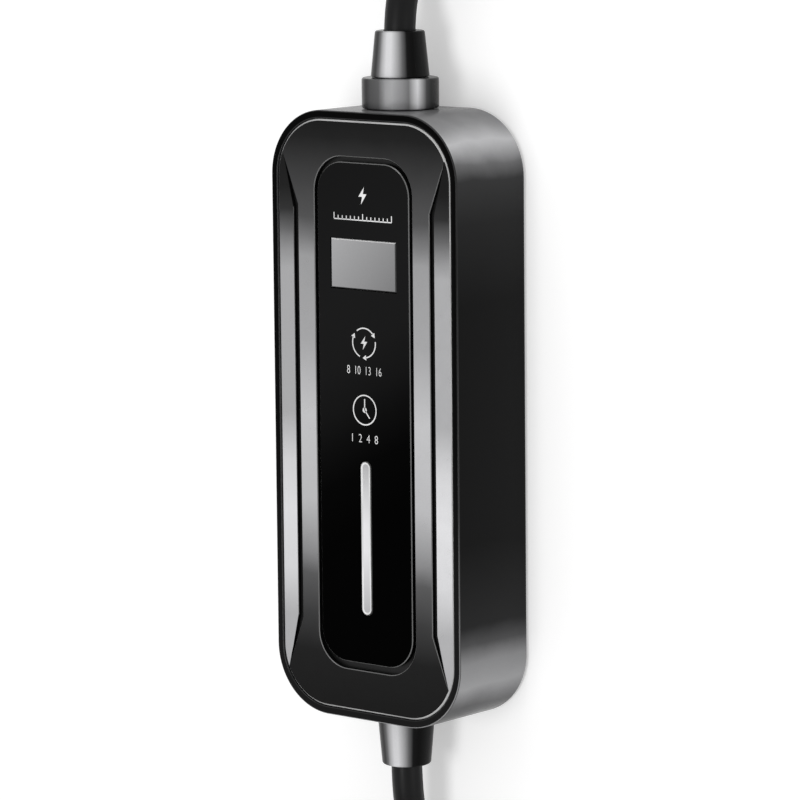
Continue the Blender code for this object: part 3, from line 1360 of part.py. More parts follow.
def make_connector_sleeve(start, end):
    """Make the connector's strain relief, which leans with the cable."""
    tip = Vector((CONNECTOR_X, start, CONNECTOR_TAIL_Z))
    root = Vector((CONNECTOR_X, end, HANDLE_TAIL_Z))
    diameters = (CONNECTOR_SLEEVE_TIP_DIAMETER, CONNECTOR_SLEEVE_ROOT_DIAMETER)
    rings = []
    for centre, diameter in zip((tip, root), diameters):
        radius = diameter / 2
        ring = []
        for step in range(24):
            angle = math.tau * step / 24
            out = Vector((radius * math.cos(angle), 0.0, radius * math.sin(angle)))
            ring.append(centre + out)
        rings.append(ring)
    bm = bmesh.new()
    add_loft(bm, rings)
    make_object("connector_sleeve", bm, SOFT_BLACK, 0.45)


def make_connector_nose(start, end, centre):
    """Make the connector's nose with its slot, contact holes and contacts."""
    radius = NOSE_DIAMETER / 2
    flange = NOSE_FLANGE_DIAMETER / 2
    flange_end = start + NOSE_FLANGE_LENGTH
    bm = bmesh.new()
    rings = (
        nose_ring(flange, start, centre),
        nose_ring(flange, flange_end, centre),
        nose_ring(radius, flange_end, centre),
        nose_ring(radius, end - NOSE_EDGE, centre),
        nose_ring(radius - NOSE_EDGE, end, centre),
    )
    add_loft(bm, rings)
    nose = make_object("connector_nose", bm, SOFT_BLACK, 0.4)
    slot = bmesh.new()
    outer = radius - NOSE_WALL
    inner = outer - NOSE_SLOT
    bottom = end - NOSE_SLOT_DEPTH
    above = end + FIT_GAP
    rings = (
        nose_ring(inner, bottom, centre),
        nose_ring(outer, bottom, centre),
        nose_ring(outer, above, centre),
        nose_ring(inner, above, centre),
    )
    add_loft(slot, rings, closed=True)
    cut(nose, "nose_slot", slot)
    holes = bmesh.new()
    for x, z in contact_places(centre):
        profile = (
            (CONTACT_BORE / 2, end - CONTACT_LENGTH),
            (CONTACT_BORE / 2, end - CONTACT_RECESS),
            (CONTACT_HOLE_DIAMETER / 2, end - CONTACT_RECESS),
            (CONTACT_HOLE_DIAMETER / 2, above),
        )
        add_turned(holes, profile, (x, 0.0, z), TO_SUPPLY, sides=12)
    cut(nose, "nose_contact_holes", holes)


def handle_section(share):
    """Give the handle's radius and its middle's height at a share of its length."""
    tail_radius = HANDLE_TAIL_DIAMETER / 2
    front_radius = NOSE_FLANGE_DIAMETER / 2 - NOSE_EDGE
    ease = share * share * (3 - 2 * share)
    radius = tail_radius + (front_radius - tail_radius) * ease ** HANDLE_SWELL
    return radius, HANDLE_TAIL_Z + (NOSE_Z - HANDLE_TAIL_Z) * ease


def make_connector_handle(start, end):
    """Make the two handle shells, which meet on the connector's middle plane."""
    steps = 16
    for name, side in (("handle_left", -1), ("handle_right", 1)):
        middle_x = CONNECTOR_X + side * FIT_GAP / 2
        rings = []
        for section in range(HANDLE_SECTIONS):
            share = section / (HANDLE_SECTIONS - 1)
            radius, z = handle_section(share)
            y = start + (end - start) * share
            ring = []
            for step in range(steps + 1):
                angle = math.pi * (step / steps - 0.5)
                x = 0.0 if step in (0, steps) else side * radius * math.cos(angle)
                ring.append(Vector((middle_x + x, y, z + radius * math.sin(angle))))
            rings.append(ring)
        bm = bmesh.new()
        add_loft(bm, rings)
        make_object(name, bm, SOFT_BLACK, 0.4)


def main():
    """Build the whole object."""
    clear_scene()
    make_housing()
    make_front_cover()
    make_cover_seal()
    make_touch_panel()
    make_display_lens()
    make_light_bar()
    make_display_parts()
    make_main_board()
    make_board_parts()
    make_core_wires()
    make_cover_screws()
    make_supply_gland()
    make_vehicle_gland()
    make_cables()
    make_plug()
    make_connector()


main()
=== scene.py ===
"""Looks of the portable charge box for an electric vehicle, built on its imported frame.

The box lies on its back: +X is its right side, +Y its supply end and +Z its front.
Every size is in metres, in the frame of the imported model.
"""

import json
import logging
import math
from collections.abc import Callable, Iterable, Sequence
from dataclasses import dataclass, field
from enum import Enum

import bmesh
import bpy
import numpy as np
from mathutils import Matrix, Vector


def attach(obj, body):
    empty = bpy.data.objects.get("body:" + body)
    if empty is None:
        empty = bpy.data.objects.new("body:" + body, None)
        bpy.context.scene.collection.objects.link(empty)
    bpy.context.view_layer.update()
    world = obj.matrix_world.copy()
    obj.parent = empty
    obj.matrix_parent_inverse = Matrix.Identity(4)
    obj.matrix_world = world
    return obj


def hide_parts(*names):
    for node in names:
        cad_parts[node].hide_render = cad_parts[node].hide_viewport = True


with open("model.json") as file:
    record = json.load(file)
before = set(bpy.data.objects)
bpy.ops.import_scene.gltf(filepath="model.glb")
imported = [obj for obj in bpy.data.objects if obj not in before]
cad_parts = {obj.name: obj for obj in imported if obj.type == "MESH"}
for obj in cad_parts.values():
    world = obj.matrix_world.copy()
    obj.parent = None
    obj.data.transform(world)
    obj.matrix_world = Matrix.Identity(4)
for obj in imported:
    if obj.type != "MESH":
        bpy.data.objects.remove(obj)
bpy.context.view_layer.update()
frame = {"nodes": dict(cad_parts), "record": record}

LOG = logging.getLogger("charge_box")
ROOT = "root"

Point = tuple[float, float, float]
Pairs = Sequence[tuple[float, float]]
Ring = list[Vector]
Piece = bpy.types.Object
Socket = bpy.types.NodeSocket
Face = bpy.types.MeshPolygon

FORWARD = Vector((0.0, 0.0, 1.0))
TO_SUPPLY = Vector((0.0, 1.0, 0.0))
TO_VEHICLE = Vector((0.0, -1.0, 0.0))


class Slot(Enum):
    """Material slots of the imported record."""

    GLOSS_BLACK = "gloss_black"
    GUNMETAL = "gunmetal"
    PANEL_GLOSS = "panel_gloss"
    LENS_GREY = "lens_grey"
    LIGHT_WHITE = "light_white"
    SEAL_RUBBER = "seal_rubber"
    CIRCUIT_BOARD = "circuit_board"
    BRIGHT_METAL = "bright_metal"
    STEEL = "steel"
    COMPONENT_BLACK = "component_black"
    COMPONENT_AMBER = "component_amber"
    COMPONENT_BLUE = "component_blue"
    FUSE_WHITE = "fuse_white"
    TERMINAL_GREEN = "terminal_green"
    WIRE_BROWN = "wire_brown"
    WIRE_BLUE = "wire_blue"
    WIRE_GREEN = "wire_green"
    WIRE_ORANGE = "wire_orange"
    GLAND_BLACK = "gland_black"
    SLEEVE_BLACK = "sleeve_black"
    CABLE_BLACK = "cable_black"
    TIE_BLACK = "tie_black"
    PLUG_BLACK = "plug_black"


class End(Enum):
    """The two ends of the box, by the side of the Y axis that they face."""

    SUPPLY = 1
    VEHICLE = -1


def add_object(name: str, data: bpy.types.ID) -> Piece:
    """Put data into the scene as a new object.

    Args:
        name: The object's name.
        data: Its mesh, curve, camera or lamp.

    Returns:
        The object.
    """
    made = bpy.data.objects.new(name, data)
    bpy.context.scene.collection.objects.link(made)
    return made


def quarter(radius: float, steps: int = 4) -> list[tuple[float, float]]:
    """Give a quarter round as pairs of inset and drop, from its side to its top.

    Args:
        radius: Its radius.
        steps: How many steps it has.

    Returns:
        The pairs.
    """
    angles = [math.pi / 2 * step / steps for step in range(steps + 1)]
    return [(radius * (1 - math.cos(angle)), radius * (1 - math.sin(angle))) for angle in angles]


class Shading:
    """Collects the nodes of one material."""

    def __init__(self, name: str) -> None:
        """Start a material with a Principled shader.

        Args:
            name: The material's name.
        """
        self.material = bpy.data.materials.new(name)
        self.material.use_nodes = True
        self.tree = self.material.node_tree
        self.shader = self.tree.nodes["Principled BSDF"]
        self._place: bpy.types.Node | None = None

    def node(self, kind: str, **settings: object) -> bpy.types.Node:
        """Add a node and set its plain properties.

        Args:
            kind: The node's type name.
            **settings: Properties of the node.

        Returns:
            The new node.
        """
        made = self.tree.nodes.new(kind)
        for key, value in settings.items():
            setattr(made, key, value)
        return made

    def join(self, source: Socket, target: Socket) -> None:
        """Link two sockets."""
        self.tree.links.new(source, target)

    def place(self) -> Socket:
        """Give the point on the piece, in metres."""
        if self._place is None:
            self._place = self.node("ShaderNodeTexCoord")
        return self._place.outputs["Object"]

    def along(self, axis: str) -> Socket:
        """Give one coordinate of the point on the piece."""
        split = self.node("ShaderNodeSeparateXYZ")
        self.join(self.place(), split.inputs[0])
        return split.outputs[axis]

    def noise(self, size: float, detail: float = 3.0, stretch: Point = (1.0, 1.0, 1.0)) -> Socket:
        """Add a noise pattern.

        Args:
            size: The width of its features in metres.
            detail: How many finer layers it has.
            stretch: How much denser it is along each axis.

        Returns:
            The pattern's value, about 0 to 1.
        """
        mapping = self.node("ShaderNodeMapping")
        mapping.inputs["Scale"].default_value = stretch
        self.join(self.place(), mapping.inputs["Vector"])
        noise = self.node("ShaderNodeTexNoise")
        noise.inputs["Scale"].default_value = 1.0 / size
        noise.inputs["Detail"].default_value = detail
        self.join(mapping.outputs[0], noise.inputs["Vector"])
        return noise.outputs[0]

    def maths(self, operation: str, first: object, second: object = 0.0, third: object = 0.0) -> Socket:
        """Combine numbers or sockets.

        Args:
            operation: The Math node's operation.
            first: A number or a socket.
            second: A number or a socket.
            third: A number or a socket.

        Returns:
            The result's socket.
        """
        maths = self.node("ShaderNodeMath", operation=operation)
        for socket, value in zip(maths.inputs, (first, second, third)):
            if isinstance(value, Socket):
                self.join(value, socket)
            else:
                socket.default_value = value
        return maths.outputs[0]

    def spread(
        self, value: Socket, low: float, high: float, from_low: float = 0.3, from_high: float = 0.7
    ) -> Socket:
        """Move a value from one range to another.

        Args:
            value: The value to move.
            low: The result at from_low.
            high: The result at from_high.
            from_low: Where the first range starts.
            from_high: Where the first range ends.

        Returns:
            The moved value's socket.
        """
        remap = self.node("ShaderNodeMapRange")
        for name, number in (
            ("From Min", from_low), ("From Max", from_high), ("To Min", low), ("To Max", high)
        ):
            remap.inputs[name].default_value = number
        self.join(value, remap.inputs["Value"])
        return remap.outputs[0]

    def ramp(self, value: Socket, stops: Sequence[tuple[float, Point]], smooth: bool = True) -> Socket:
        """Turn a value into a colour.

        Args:
            value: A value from 0 to 1.
            stops: Places with their colours, in order.
            smooth: True to ease between the stops.

        Returns:
            The colour's socket.
        """
        ramp = self.node("ShaderNodeValToRGB")
        ramp.color_ramp.interpolation = "EASE" if smooth else "LINEAR"
        elements = ramp.color_ramp.elements
        while len(elements) < len(stops):
            elements.new(0.5)
        for element, (position, colour) in zip(elements, stops):
            element.position = position
            element.color = (*colour, 1.0)
        self.join(value, ramp.inputs[0])
        return ramp.outputs[0]

    def bump(self, height: Socket, depth: float) -> None:
        """Give the surface small relief.

        Args:
            height: The relief's pattern, 0 to 1.
            depth: Its depth in metres.
        """
        bump = self.node("ShaderNodeBump")
        bump.inputs["Distance"].default_value = depth
        self.join(height, bump.inputs["Height"])
        self.join(bump.outputs[0], self.shader.inputs["Normal"])

    def plain(self, **values: object) -> None:
        """Set numbers that are the same all over the surface."""
        for key, value in values.items():
            self.shader.inputs[key.replace("_", " ").title().replace("Ior", "IOR")].default_value = value


@dataclass(frozen=True)
class Finish:
    """A finish that is made once and then shared.

    Attributes:
        name: The material's name.
    """

    name: str

    def material(self) -> bpy.types.Material:
        """Give the finish's material, made on first use."""
        made = bpy.data.materials.get(self.name)
        return made or self.build()

    def build(self) -> bpy.types.Material:
        """Make the material."""
        return Shading(self.name).material


@dataclass(frozen=True)
class MouldedPlastic(Finish):
    """Moulded plastic with fine grain and slight unevenness.

    Attributes:
        colour: The base colour.
        roughness: The middle roughness.
        variation: How far the roughness strays.
        grain: The width of the grain in metres.
        depth: The depth of the grain in metres.
        level: The specular level.
    """

    colour: Point = (0.012, 0.012, 0.013)
    roughness: float = 0.35
    variation: float = 0.05
    grain: float = 0.0006
    depth: float = 0.000015
    level: float = 0.5

    def build(self) -> bpy.types.Material:
        """Make the plastic's material.

        Returns:
            The material.
        """
        shading = Shading(self.name)
        cloudy = shading.noise(0.018, 4.0)
        dark = tuple(value * 0.86 for value in self.colour)
        light = tuple(value * 1.12 for value in self.colour)
        tint = shading.ramp(cloudy, ((0.3, dark), (0.7, light)))
        shading.join(tint, shading.shader.inputs["Base Color"])
        rough = shading.spread(
            shading.noise(0.006, 5.0), self.roughness - self.variation, self.roughness + self.variation
        )
        shading.join(rough, shading.shader.inputs["Roughness"])
        shading.bump(shading.noise(self.grain, 2.0), self.depth)
        shading.plain(specular_ior_level=self.level)
        return shading.material


@dataclass(frozen=True)
class PlatedMetal(Finish):
    """Metal with fine directional brushing and faint tarnish.

    Attributes:
        colour: The metal's colour.
        roughness: The middle roughness.
        brush: How much denser the brushing is along each axis.
    """

    colour: Point = (0.62, 0.62, 0.63)
    roughness: float = 0.26
    brush: Point = (1.0, 0.08, 1.0)

    def build(self) -> bpy.types.Material:
        """Make the metal's material.

        Returns:
            The material.
        """
        shading = Shading(self.name)
        dull = tuple(value * 0.78 for value in self.colour)
        tint = shading.ramp(shading.noise(0.005, 4.0), ((0.35, dull), (0.65, self.colour)))
        shading.join(tint, shading.shader.inputs["Base Color"])
        lines = shading.noise(0.0003, 2.0, self.brush)
        shading.join(
            shading.spread(lines, self.roughness * 0.7, self.roughness * 1.3),
            shading.shader.inputs["Roughness"],
        )
        shading.bump(lines, 0.000008)
        shading.plain(metallic=1.0)
        return shading.material


@dataclass(frozen=True)
class CircuitLacquer(Finish):
    """Solder resist over copper tracks on a circuit board.

    Attributes:
        colour: The resist's colour.
        track: The colour where copper lies under the resist.
    """

    colour: Point = (0.010, 0.075, 0.030)
    track: Point = (0.025, 0.150, 0.055)

    def build(self) -> bpy.types.Material:
        """Make the board's material.

        Returns:
            The material.
        """
        shading = Shading(self.name)
        cells = shading.node("ShaderNodeTexVoronoi", distance="CHEBYCHEV")
        cells.inputs["Scale"].default_value = 240.0
        shading.join(shading.place(), cells.inputs["Vector"])
        tracks = shading.spread(cells.outputs["Distance"], 0.0, 1.0, 0.28, 0.32)
        tint = shading.ramp(tracks, ((0.0, self.track), (1.0, self.colour)), smooth=False)
        shading.join(tint, shading.shader.inputs["Base Color"])
        shading.join(shading.spread(shading.noise(0.002), 0.28, 0.42), shading.shader.inputs["Roughness"])
        shading.bump(tracks, 0.00003)
        return shading.material


@dataclass(frozen=True)
class Fade(Finish):
    """Smooth lacquer whose painted brightness changes along one direction, standing in for highlights,
    reflections and shade.

    Attributes:
        stops: Places along the direction, in metres, with the painted brightness there.
        way: The direction; its length scales the places.
        metal: The share of metal flakes.
        roughness: The lacquer's roughness.
        level: The specular level.
        coat: The share of clear coat.
        waver: How far the fade strays, as a share of its reach.
    """

    stops: tuple[tuple[float, float], ...] = ()
    way: Point = (0.0, 1.0, 0.0)
    metal: float = 0.0
    roughness: float = 0.3
    level: float = 0.2
    coat: float = 0.0
    waver: float = 0.004

    def reach(self, shading: Shading) -> Socket:
        """Give where a point lies along the fade.

        Args:
            shading: The material that gets the nodes.

        Returns:
            The place's socket.
        """
        dot = shading.node("ShaderNodeVectorMath", operation="DOT_PRODUCT")
        shading.join(shading.place(), dot.inputs[0])
        dot.inputs[1].default_value = self.way
        return dot.outputs["Value"]

    def build(self) -> bpy.types.Material:
        """Make the lacquer's material with its painted light fade.

        Returns:
            The material.
        """
        shading = Shading(self.name)
        low, high = self.stops[0][0], self.stops[-1][0]
        share = shading.spread(self.reach(shading), 0.0, 1.0, low, high)
        waver = shading.maths("ADD", share, shading.spread(shading.noise(0.02), -self.waver, self.waver))
        stops = [((place - low) / (high - low), (value, value, value * 1.02)) for place, value in self.stops]
        tint = shading.ramp(waver, stops, smooth=False)
        flakes = shading.spread(shading.noise(0.00018, 1.0), 0.94, 1.06)
        mix = shading.node("ShaderNodeVectorMath", operation="SCALE")
        shading.join(tint, mix.inputs[0])
        shading.join(flakes, mix.inputs["Scale"])
        shading.join(mix.outputs[0], shading.shader.inputs["Base Color"])
        rough = shading.spread(shading.noise(0.004, 4.0), self.roughness - 0.03, self.roughness + 0.03)
        shading.join(rough, shading.shader.inputs["Roughness"])
        shading.bump(shading.noise(0.0004, 1.0), 0.000002)
        shading.plain(
            metallic=self.metal, specular_ior_level=self.level, coat_weight=self.coat, coat_roughness=0.04
        )
        return shading.material


@dataclass(frozen=True)
class RoundFade(Fade):
    """A fade of painted highlights that runs round the glands' axis; its places are degrees from +X.

    Attributes:
        axis_z: The height of the axis.
    """

    axis_z: float = 0.0185

    def reach(self, shading: Shading) -> Socket:
        """Give the angle of a point round the axis, in degrees."""
        height = shading.maths("SUBTRACT", shading.along("Z"), self.axis_z)
        turn = shading.maths("ARCTAN2", height, shading.along("X"))
        return shading.maths("MULTIPLY", turn, 180.0 / math.pi)


# Painted highlights on the housing's outer wall: light bands at the rounded corners, near black on the flat
# sides.
WALL_PAINTED_HIGHLIGHTS = Fade(
    "housing_wall_gloss",
    stops=(
        (-0.115, 0.040), (-0.106, 0.120), (-0.098, 0.400), (-0.089, 0.300), (-0.082, 0.090),
        (-0.075, 0.020), (-0.044, 0.005), (0.046, 0.005), (0.075, 0.018), (0.091, 0.040),
        (0.097, 0.170), (0.105, 0.640), (0.110, 0.340), (0.115, 0.180),
    ),
    roughness=0.2,
    level=0.05,
)
# Painted reflection on the rim's front face: faint grey towards the vehicle end, black towards the supply
# end.
RIM_PAINTED_REFLECTION = Fade(
    "housing_rim_gloss",
    stops=((-0.115, 0.009), (-0.060, 0.007), (-0.010, 0.001), (0.115, 0.000)),
    roughness=0.2,
    level=0.03,
)
# Painted highlight along the rim's outer edge, brightest at the vehicle end.
RIM_EDGE_HIGHLIGHT = Fade(
    "housing_rim_edge",
    stops=(
        (-0.115, 0.300), (-0.080, 0.160), (-0.030, 0.030), (0.060, 0.006), (0.115, 0.040),
    ),
    roughness=0.2,
    level=0.10,
)
# Painted reflection on the cover's middle band: silver in the middle, fading to black towards both ends.
BAND_PAINTED_REFLECTION = Fade(
    "cover_graphite_fade",
    stops=(
        (-0.112, 0.000), (-0.090, 0.004), (-0.076, 0.034), (-0.061, 0.089), (-0.053, 0.230),
        (-0.032, 0.470), (0.000, 0.520), (0.028, 0.360), (0.051, 0.330), (0.060, 0.312),
        (0.067, 0.177), (0.075, 0.073), (0.090, 0.037), (0.105, 0.005), (0.113, 0.000),
    ),
    metal=0.75,
    level=0.3,
    coat=0.08,
)
# Painted reflection on the side facets: light silver along most of their length, fading to black at the
# supply end.
WING_PAINTED_REFLECTION = Fade(
    "cover_silver_facets",
    stops=(
        (-0.104, 0.380), (-0.078, 0.410), (-0.060, 0.640), (-0.037, 0.700), (-0.018, 0.620),
        (0.000, 0.390), (0.055, 0.380), (0.061, 0.285), (0.069, 0.116), (0.077, 0.020),
        (0.086, 0.003), (0.104, 0.000),
    ),
    metal=0.75,
    level=0.3,
    coat=0.08,
)
# Painted highlight lines on the cover's outer chamfer.
COVER_HIGHLIGHT_EDGE = MouldedPlastic("cover_bright_edge", (0.58, 0.58, 0.58), 0.3, 0.03, 0.002, 0.000002, 0.4)
# Painted highlight lines on the lips of the grooves and the pocket.
COVER_LIP_HIGHLIGHT = MouldedPlastic("cover_inner_edge", (0.16, 0.16, 0.16), 0.3, 0.03, 0.002, 0.000002, 0.4)
# Painted reflection on the panel: faint grey towards the top, black towards the bottom.
PANEL_GLOSS = Fade(
    "panel_gloss_black",
    stops=(
        (-0.110, 0.0), (-0.040, 0.0), (-0.018, 0.0008), (-0.003, 0.0034), (0.010, 0.0070),
        (0.028, 0.0100), (0.050, 0.0110), (0.110, 0.0085),
    ),
    way=(-0.56, 1.0, 0.0),
    roughness=0.06,
    level=0.01,
)
# Painted shading on the display lens: lighter grey to the upper left, darker to the lower right.
LENS_GREY = Fade(
    "display_lens_grey",
    stops=((-0.075, 0.390), (-0.026, 0.180)),
    way=(1.0, -0.85, 0.0),
    roughness=0.25,
    level=0.4,
)
# Painted highlights round the collar nut: light bands by angle round the gland's axis, on black.
COLLAR_PAINTED_HIGHLIGHTS = RoundFade(
    "gland_nut_gloss_black",
    stops=(
        (-40.0, 0.008), (-2.0, 0.028), (8.0, 0.080), (16.0, 0.400), (24.0, 0.780),
        (31.0, 0.500), (38.0, 0.190), (48.0, 0.290), (62.0, 0.400), (72.0, 0.320),
        (84.0, 0.110), (100.0, 0.080), (112.0, 0.014), (150.0, 0.006),
    ),
    roughness=0.22,
    level=0.10,
)
# Painted highlights round the strain reliefs: light bands by angle round the gland's axis, on black.
SLEEVE_PAINTED_HIGHLIGHTS = RoundFade(
    "strain_relief_gloss_black",
    stops=(
        (-40.0, 0.003), (0.0, 0.010), (22.0, 0.001), (36.0, 0.006), (46.0, 0.140),
        (58.0, 0.440), (70.0, 0.730), (80.0, 0.720), (90.0, 0.460), (98.0, 0.170),
        (108.0, 0.040), (130.0, 0.034), (160.0, 0.010),
    ),
    roughness=0.24,
    level=0.06,
)
GLOSS_HOUSING = MouldedPlastic(
    "housing_gloss_black", (0.0070, 0.0070, 0.0074), 0.16, 0.02, 0.0012, 0.000004, 0.22
)
CABLE_JACKET = MouldedPlastic(
    "cable_jacket_black", (0.0045, 0.0045, 0.0048), 0.36, 0.06, 0.0009, 0.00002, 0.14
)
PLUG_PLASTIC = MouldedPlastic("plug_satin_black", (0.012, 0.012, 0.013), 0.42, 0.05, 0.0004, 0.00003, 0.45)
SEAL_RUBBER = MouldedPlastic("seal_rubber_black", (0.016, 0.016, 0.016), 0.75, 0.06, 0.0003, 0.00003, 0.3)
LIGHT_WHITE = MouldedPlastic("light_guide_white", (0.78, 0.78, 0.78), 0.30, 0.04, 0.002, 0.000004, 0.5)
TIE_WEAVE = MouldedPlastic("tie_woven_black", (0.014, 0.014, 0.015), 0.85, 0.06, 0.0005, 0.00008, 0.3)
ZINC_STEEL = PlatedMetal("zinc_plated_steel")


def insulation(colour_name: str, colour: Point) -> MouldedPlastic:
    """Give the insulation of one core wire."""
    return MouldedPlastic(f"core_insulation_{colour_name}", colour, 0.4, 0.05, 0.0006, 0.00001)


SLOT_FINISHES: dict[Slot, Finish] = {
    Slot.GLOSS_BLACK: GLOSS_HOUSING,
    Slot.GUNMETAL: BAND_PAINTED_REFLECTION,
    Slot.PANEL_GLOSS: PANEL_GLOSS,
    Slot.LENS_GREY: LENS_GREY,
    Slot.LIGHT_WHITE: LIGHT_WHITE,
    Slot.SEAL_RUBBER: SEAL_RUBBER,
    Slot.CIRCUIT_BOARD: CircuitLacquer("board_green_lacquer"),
    Slot.BRIGHT_METAL: PlatedMetal("bright_tin_plate", (0.66, 0.66, 0.67), 0.2),
    Slot.STEEL: ZINC_STEEL,
    Slot.COMPONENT_BLACK: MouldedPlastic(
        "component_case_black", (0.014, 0.014, 0.014), 0.55, 0.06, 0.0003, 0.00004
    ),
    Slot.COMPONENT_AMBER: MouldedPlastic(
        "component_lacquer_amber", (0.42, 0.17, 0.03), 0.3, 0.05, 0.0010, 0.00003
    ),
    Slot.COMPONENT_BLUE: MouldedPlastic(
        "component_lacquer_blue", (0.03, 0.08, 0.32), 0.3, 0.05, 0.0010, 0.00003
    ),
    Slot.FUSE_WHITE: MouldedPlastic("fuse_ceramic_white", (0.74, 0.74, 0.71), 0.22, 0.03, 0.0008, 0.00001),
    Slot.TERMINAL_GREEN: MouldedPlastic(
        "terminal_moulding_green", (0.06, 0.24, 0.06), 0.45, 0.05, 0.0004, 0.00003
    ),
    Slot.WIRE_BROWN: insulation("brown", (0.14, 0.05, 0.02)),
    Slot.WIRE_BLUE: insulation("blue", (0.02, 0.07, 0.33)),
    Slot.WIRE_GREEN: insulation("green", (0.08, 0.28, 0.04)),
    Slot.WIRE_ORANGE: insulation("orange", (0.55, 0.17, 0.02)),
    Slot.GLAND_BLACK: MouldedPlastic(
        "gland_satin_black", (0.010, 0.010, 0.010), 0.30, 0.04, 0.0005, 0.00001, 0.5
    ),
    Slot.SLEEVE_BLACK: MouldedPlastic(
        "strain_relief_black", (0.008, 0.008, 0.009), 0.24, 0.03, 0.0006, 0.000006, 0.5
    ),
    Slot.CABLE_BLACK: CABLE_JACKET,
    Slot.TIE_BLACK: TIE_WEAVE,
    Slot.PLUG_BLACK: PLUG_PLASTIC,
}


@dataclass(frozen=True)
class PhotoCamera:
    """The camera at the photograph's viewing angle.

    Attributes:
        lens: Focal length in millimetres.
        sensor: Sensor width in millimetres.
        location: Where the camera stands.
        right: The picture's right side as a direction.
        up: The picture's upper side as a direction.
        back: The direction from the object to the camera.
    """

    lens: float = 202.5
    sensor: float = 36.0
    location: Point = (1.0801, 0.2509, 1.3058)
    right: Point = (0.76645, -0.00963, -0.64223)
    up: Point = (-0.08577, 0.98940, -0.11720)
    back: Point = (0.63655, 0.14492, 0.75750)

    def place(self) -> Piece:
        """Create the camera and make it the scene's own.

        Returns:
            The camera's object.
        """
        data = bpy.data.cameras.new("photo_camera")
        data.lens = self.lens
        data.sensor_width = self.sensor
        data.clip_start = 0.05
        data.clip_end = 50.0
        camera = add_object("photo_camera", data)
        turn = Matrix((self.right, self.up, self.back)).transposed().to_4x4()
        camera.matrix_world = Matrix.Translation(self.location) @ turn
        bpy.context.scene.camera = camera
        return camera


@dataclass(frozen=True)
class SoftBox:
    """One area lamp aimed at the object.

    Attributes:
        name: The lamp's name.
        place: Where it hangs.
        target: The point it is aimed at.
        size: Its width and height.
        power: Its power in watts.
    """

    name: str
    place: Point
    target: Point
    size: tuple[float, float]
    power: float

    def hang(self) -> Piece:
        """Create the lamp.

        Returns:
            The lamp's object.
        """
        data = bpy.data.lights.new(self.name, "AREA")
        data.shape = "RECTANGLE"
        data.size, data.size_y = self.size
        data.energy = self.power
        lamp = add_object(self.name, data)
        aim = Vector(self.target) - Vector(self.place)
        lamp.matrix_world = Matrix.Translation(self.place) @ aim.to_track_quat("-Z", "Y").to_matrix().to_4x4()
        return lamp


@dataclass
class Studio:
    """A pale floor with plain soft light.

    Attributes:
        floor_half: Half the floor's side.
        floor_drop: How far the floor lies under the object.
        floor_colour: The floor's own colour.
        lift: What the floor gains where it is seen as background.
        world_level: The strength of the world's light.
        boxes: The lamps.
    """

    floor_half: float = 12.0
    floor_drop: float = 0.0002
    floor_colour: Point = (0.80, 0.80, 0.80)
    lift: float = 0.35
    world_level: float = 0.55
    boxes: tuple[SoftBox, ...] = (
        SoftBox("box_overhead", (0.05, -0.20, 1.60), (0.0, 0.0, 0.03), (0.55, 0.75), 9.0),
        SoftBox("strip_right", (1.60, -0.24, 0.26), (0.0, 0.0, 0.03), (0.22, 0.60), 3.0),
        SoftBox("box_supply_side", (-0.10, 1.50, 0.80), (0.0, 0.0, 0.03), (0.9, 0.5), 4.0),
    )

    @staticmethod
    def background_share(shading_tree: bpy.types.NodeTree) -> Socket:
        """Give 1 for the rays that see a background, and 0 for the others.

        Args:
            shading_tree: The node tree that gets the nodes.

        Returns:
            The share's socket.
        """
        path = shading_tree.nodes.new("ShaderNodeLightPath")
        share = path.outputs["Is Camera Ray"]
        for name in ("Is Glossy Ray", "Is Transmission Ray"):
            either = shading_tree.nodes.new("ShaderNodeMath")
            either.operation = "MAXIMUM"
            shading_tree.links.new(share, either.inputs[0])
            shading_tree.links.new(path.outputs[name], either.inputs[1])
            share = either.outputs[0]
        return share

    def lay_floor(self) -> Piece:
        """Make the floor.

        Returns:
            The floor's object.
        """
        mesh = bpy.data.meshes.new("studio_floor")
        reach = self.floor_half
        corners = [(-reach, -reach), (reach, -reach), (reach, reach), (-reach, reach)]
        mesh.from_pydata([(x, y, -self.floor_drop) for x, y in corners], [], [(0, 1, 2, 3)])
        floor = add_object("studio_floor", mesh)
        shading = Shading("studio_floor_white")
        shading.plain(roughness=0.9, specular_ior_level=0.0)
        shading.plain(base_color=(*self.floor_colour, 1.0), emission_color=(1.0, 1.0, 1.0, 1.0))
        lifted = shading.maths("MULTIPLY", self.background_share(shading.tree), self.lift)
        shading.join(lifted, shading.shader.inputs["Emission Strength"])
        mesh.materials.append(shading.material)
        return floor

    def light_world(self) -> None:
        """Give the world its even light and its white background."""
        world = bpy.data.worlds.new("studio_world")
        bpy.context.scene.world = world
        world.use_nodes = True
        tree = world.node_tree
        background = tree.nodes["Background"]
        background.inputs["Color"].default_value = (1.0, 1.0, 1.0, 1.0)
        remap = tree.nodes.new("ShaderNodeMapRange")
        remap.inputs["To Min"].default_value = self.world_level
        tree.links.new(self.background_share(tree), remap.inputs["Value"])
        tree.links.new(remap.outputs[0], background.inputs["Strength"])

    def build(self) -> None:
        """Make the floor, the world and the lamps."""
        self.lay_floor()
        self.light_world()
        for box in self.boxes:
            box.hang()
        settings = bpy.context.scene.view_settings
        settings.view_transform = "Standard"


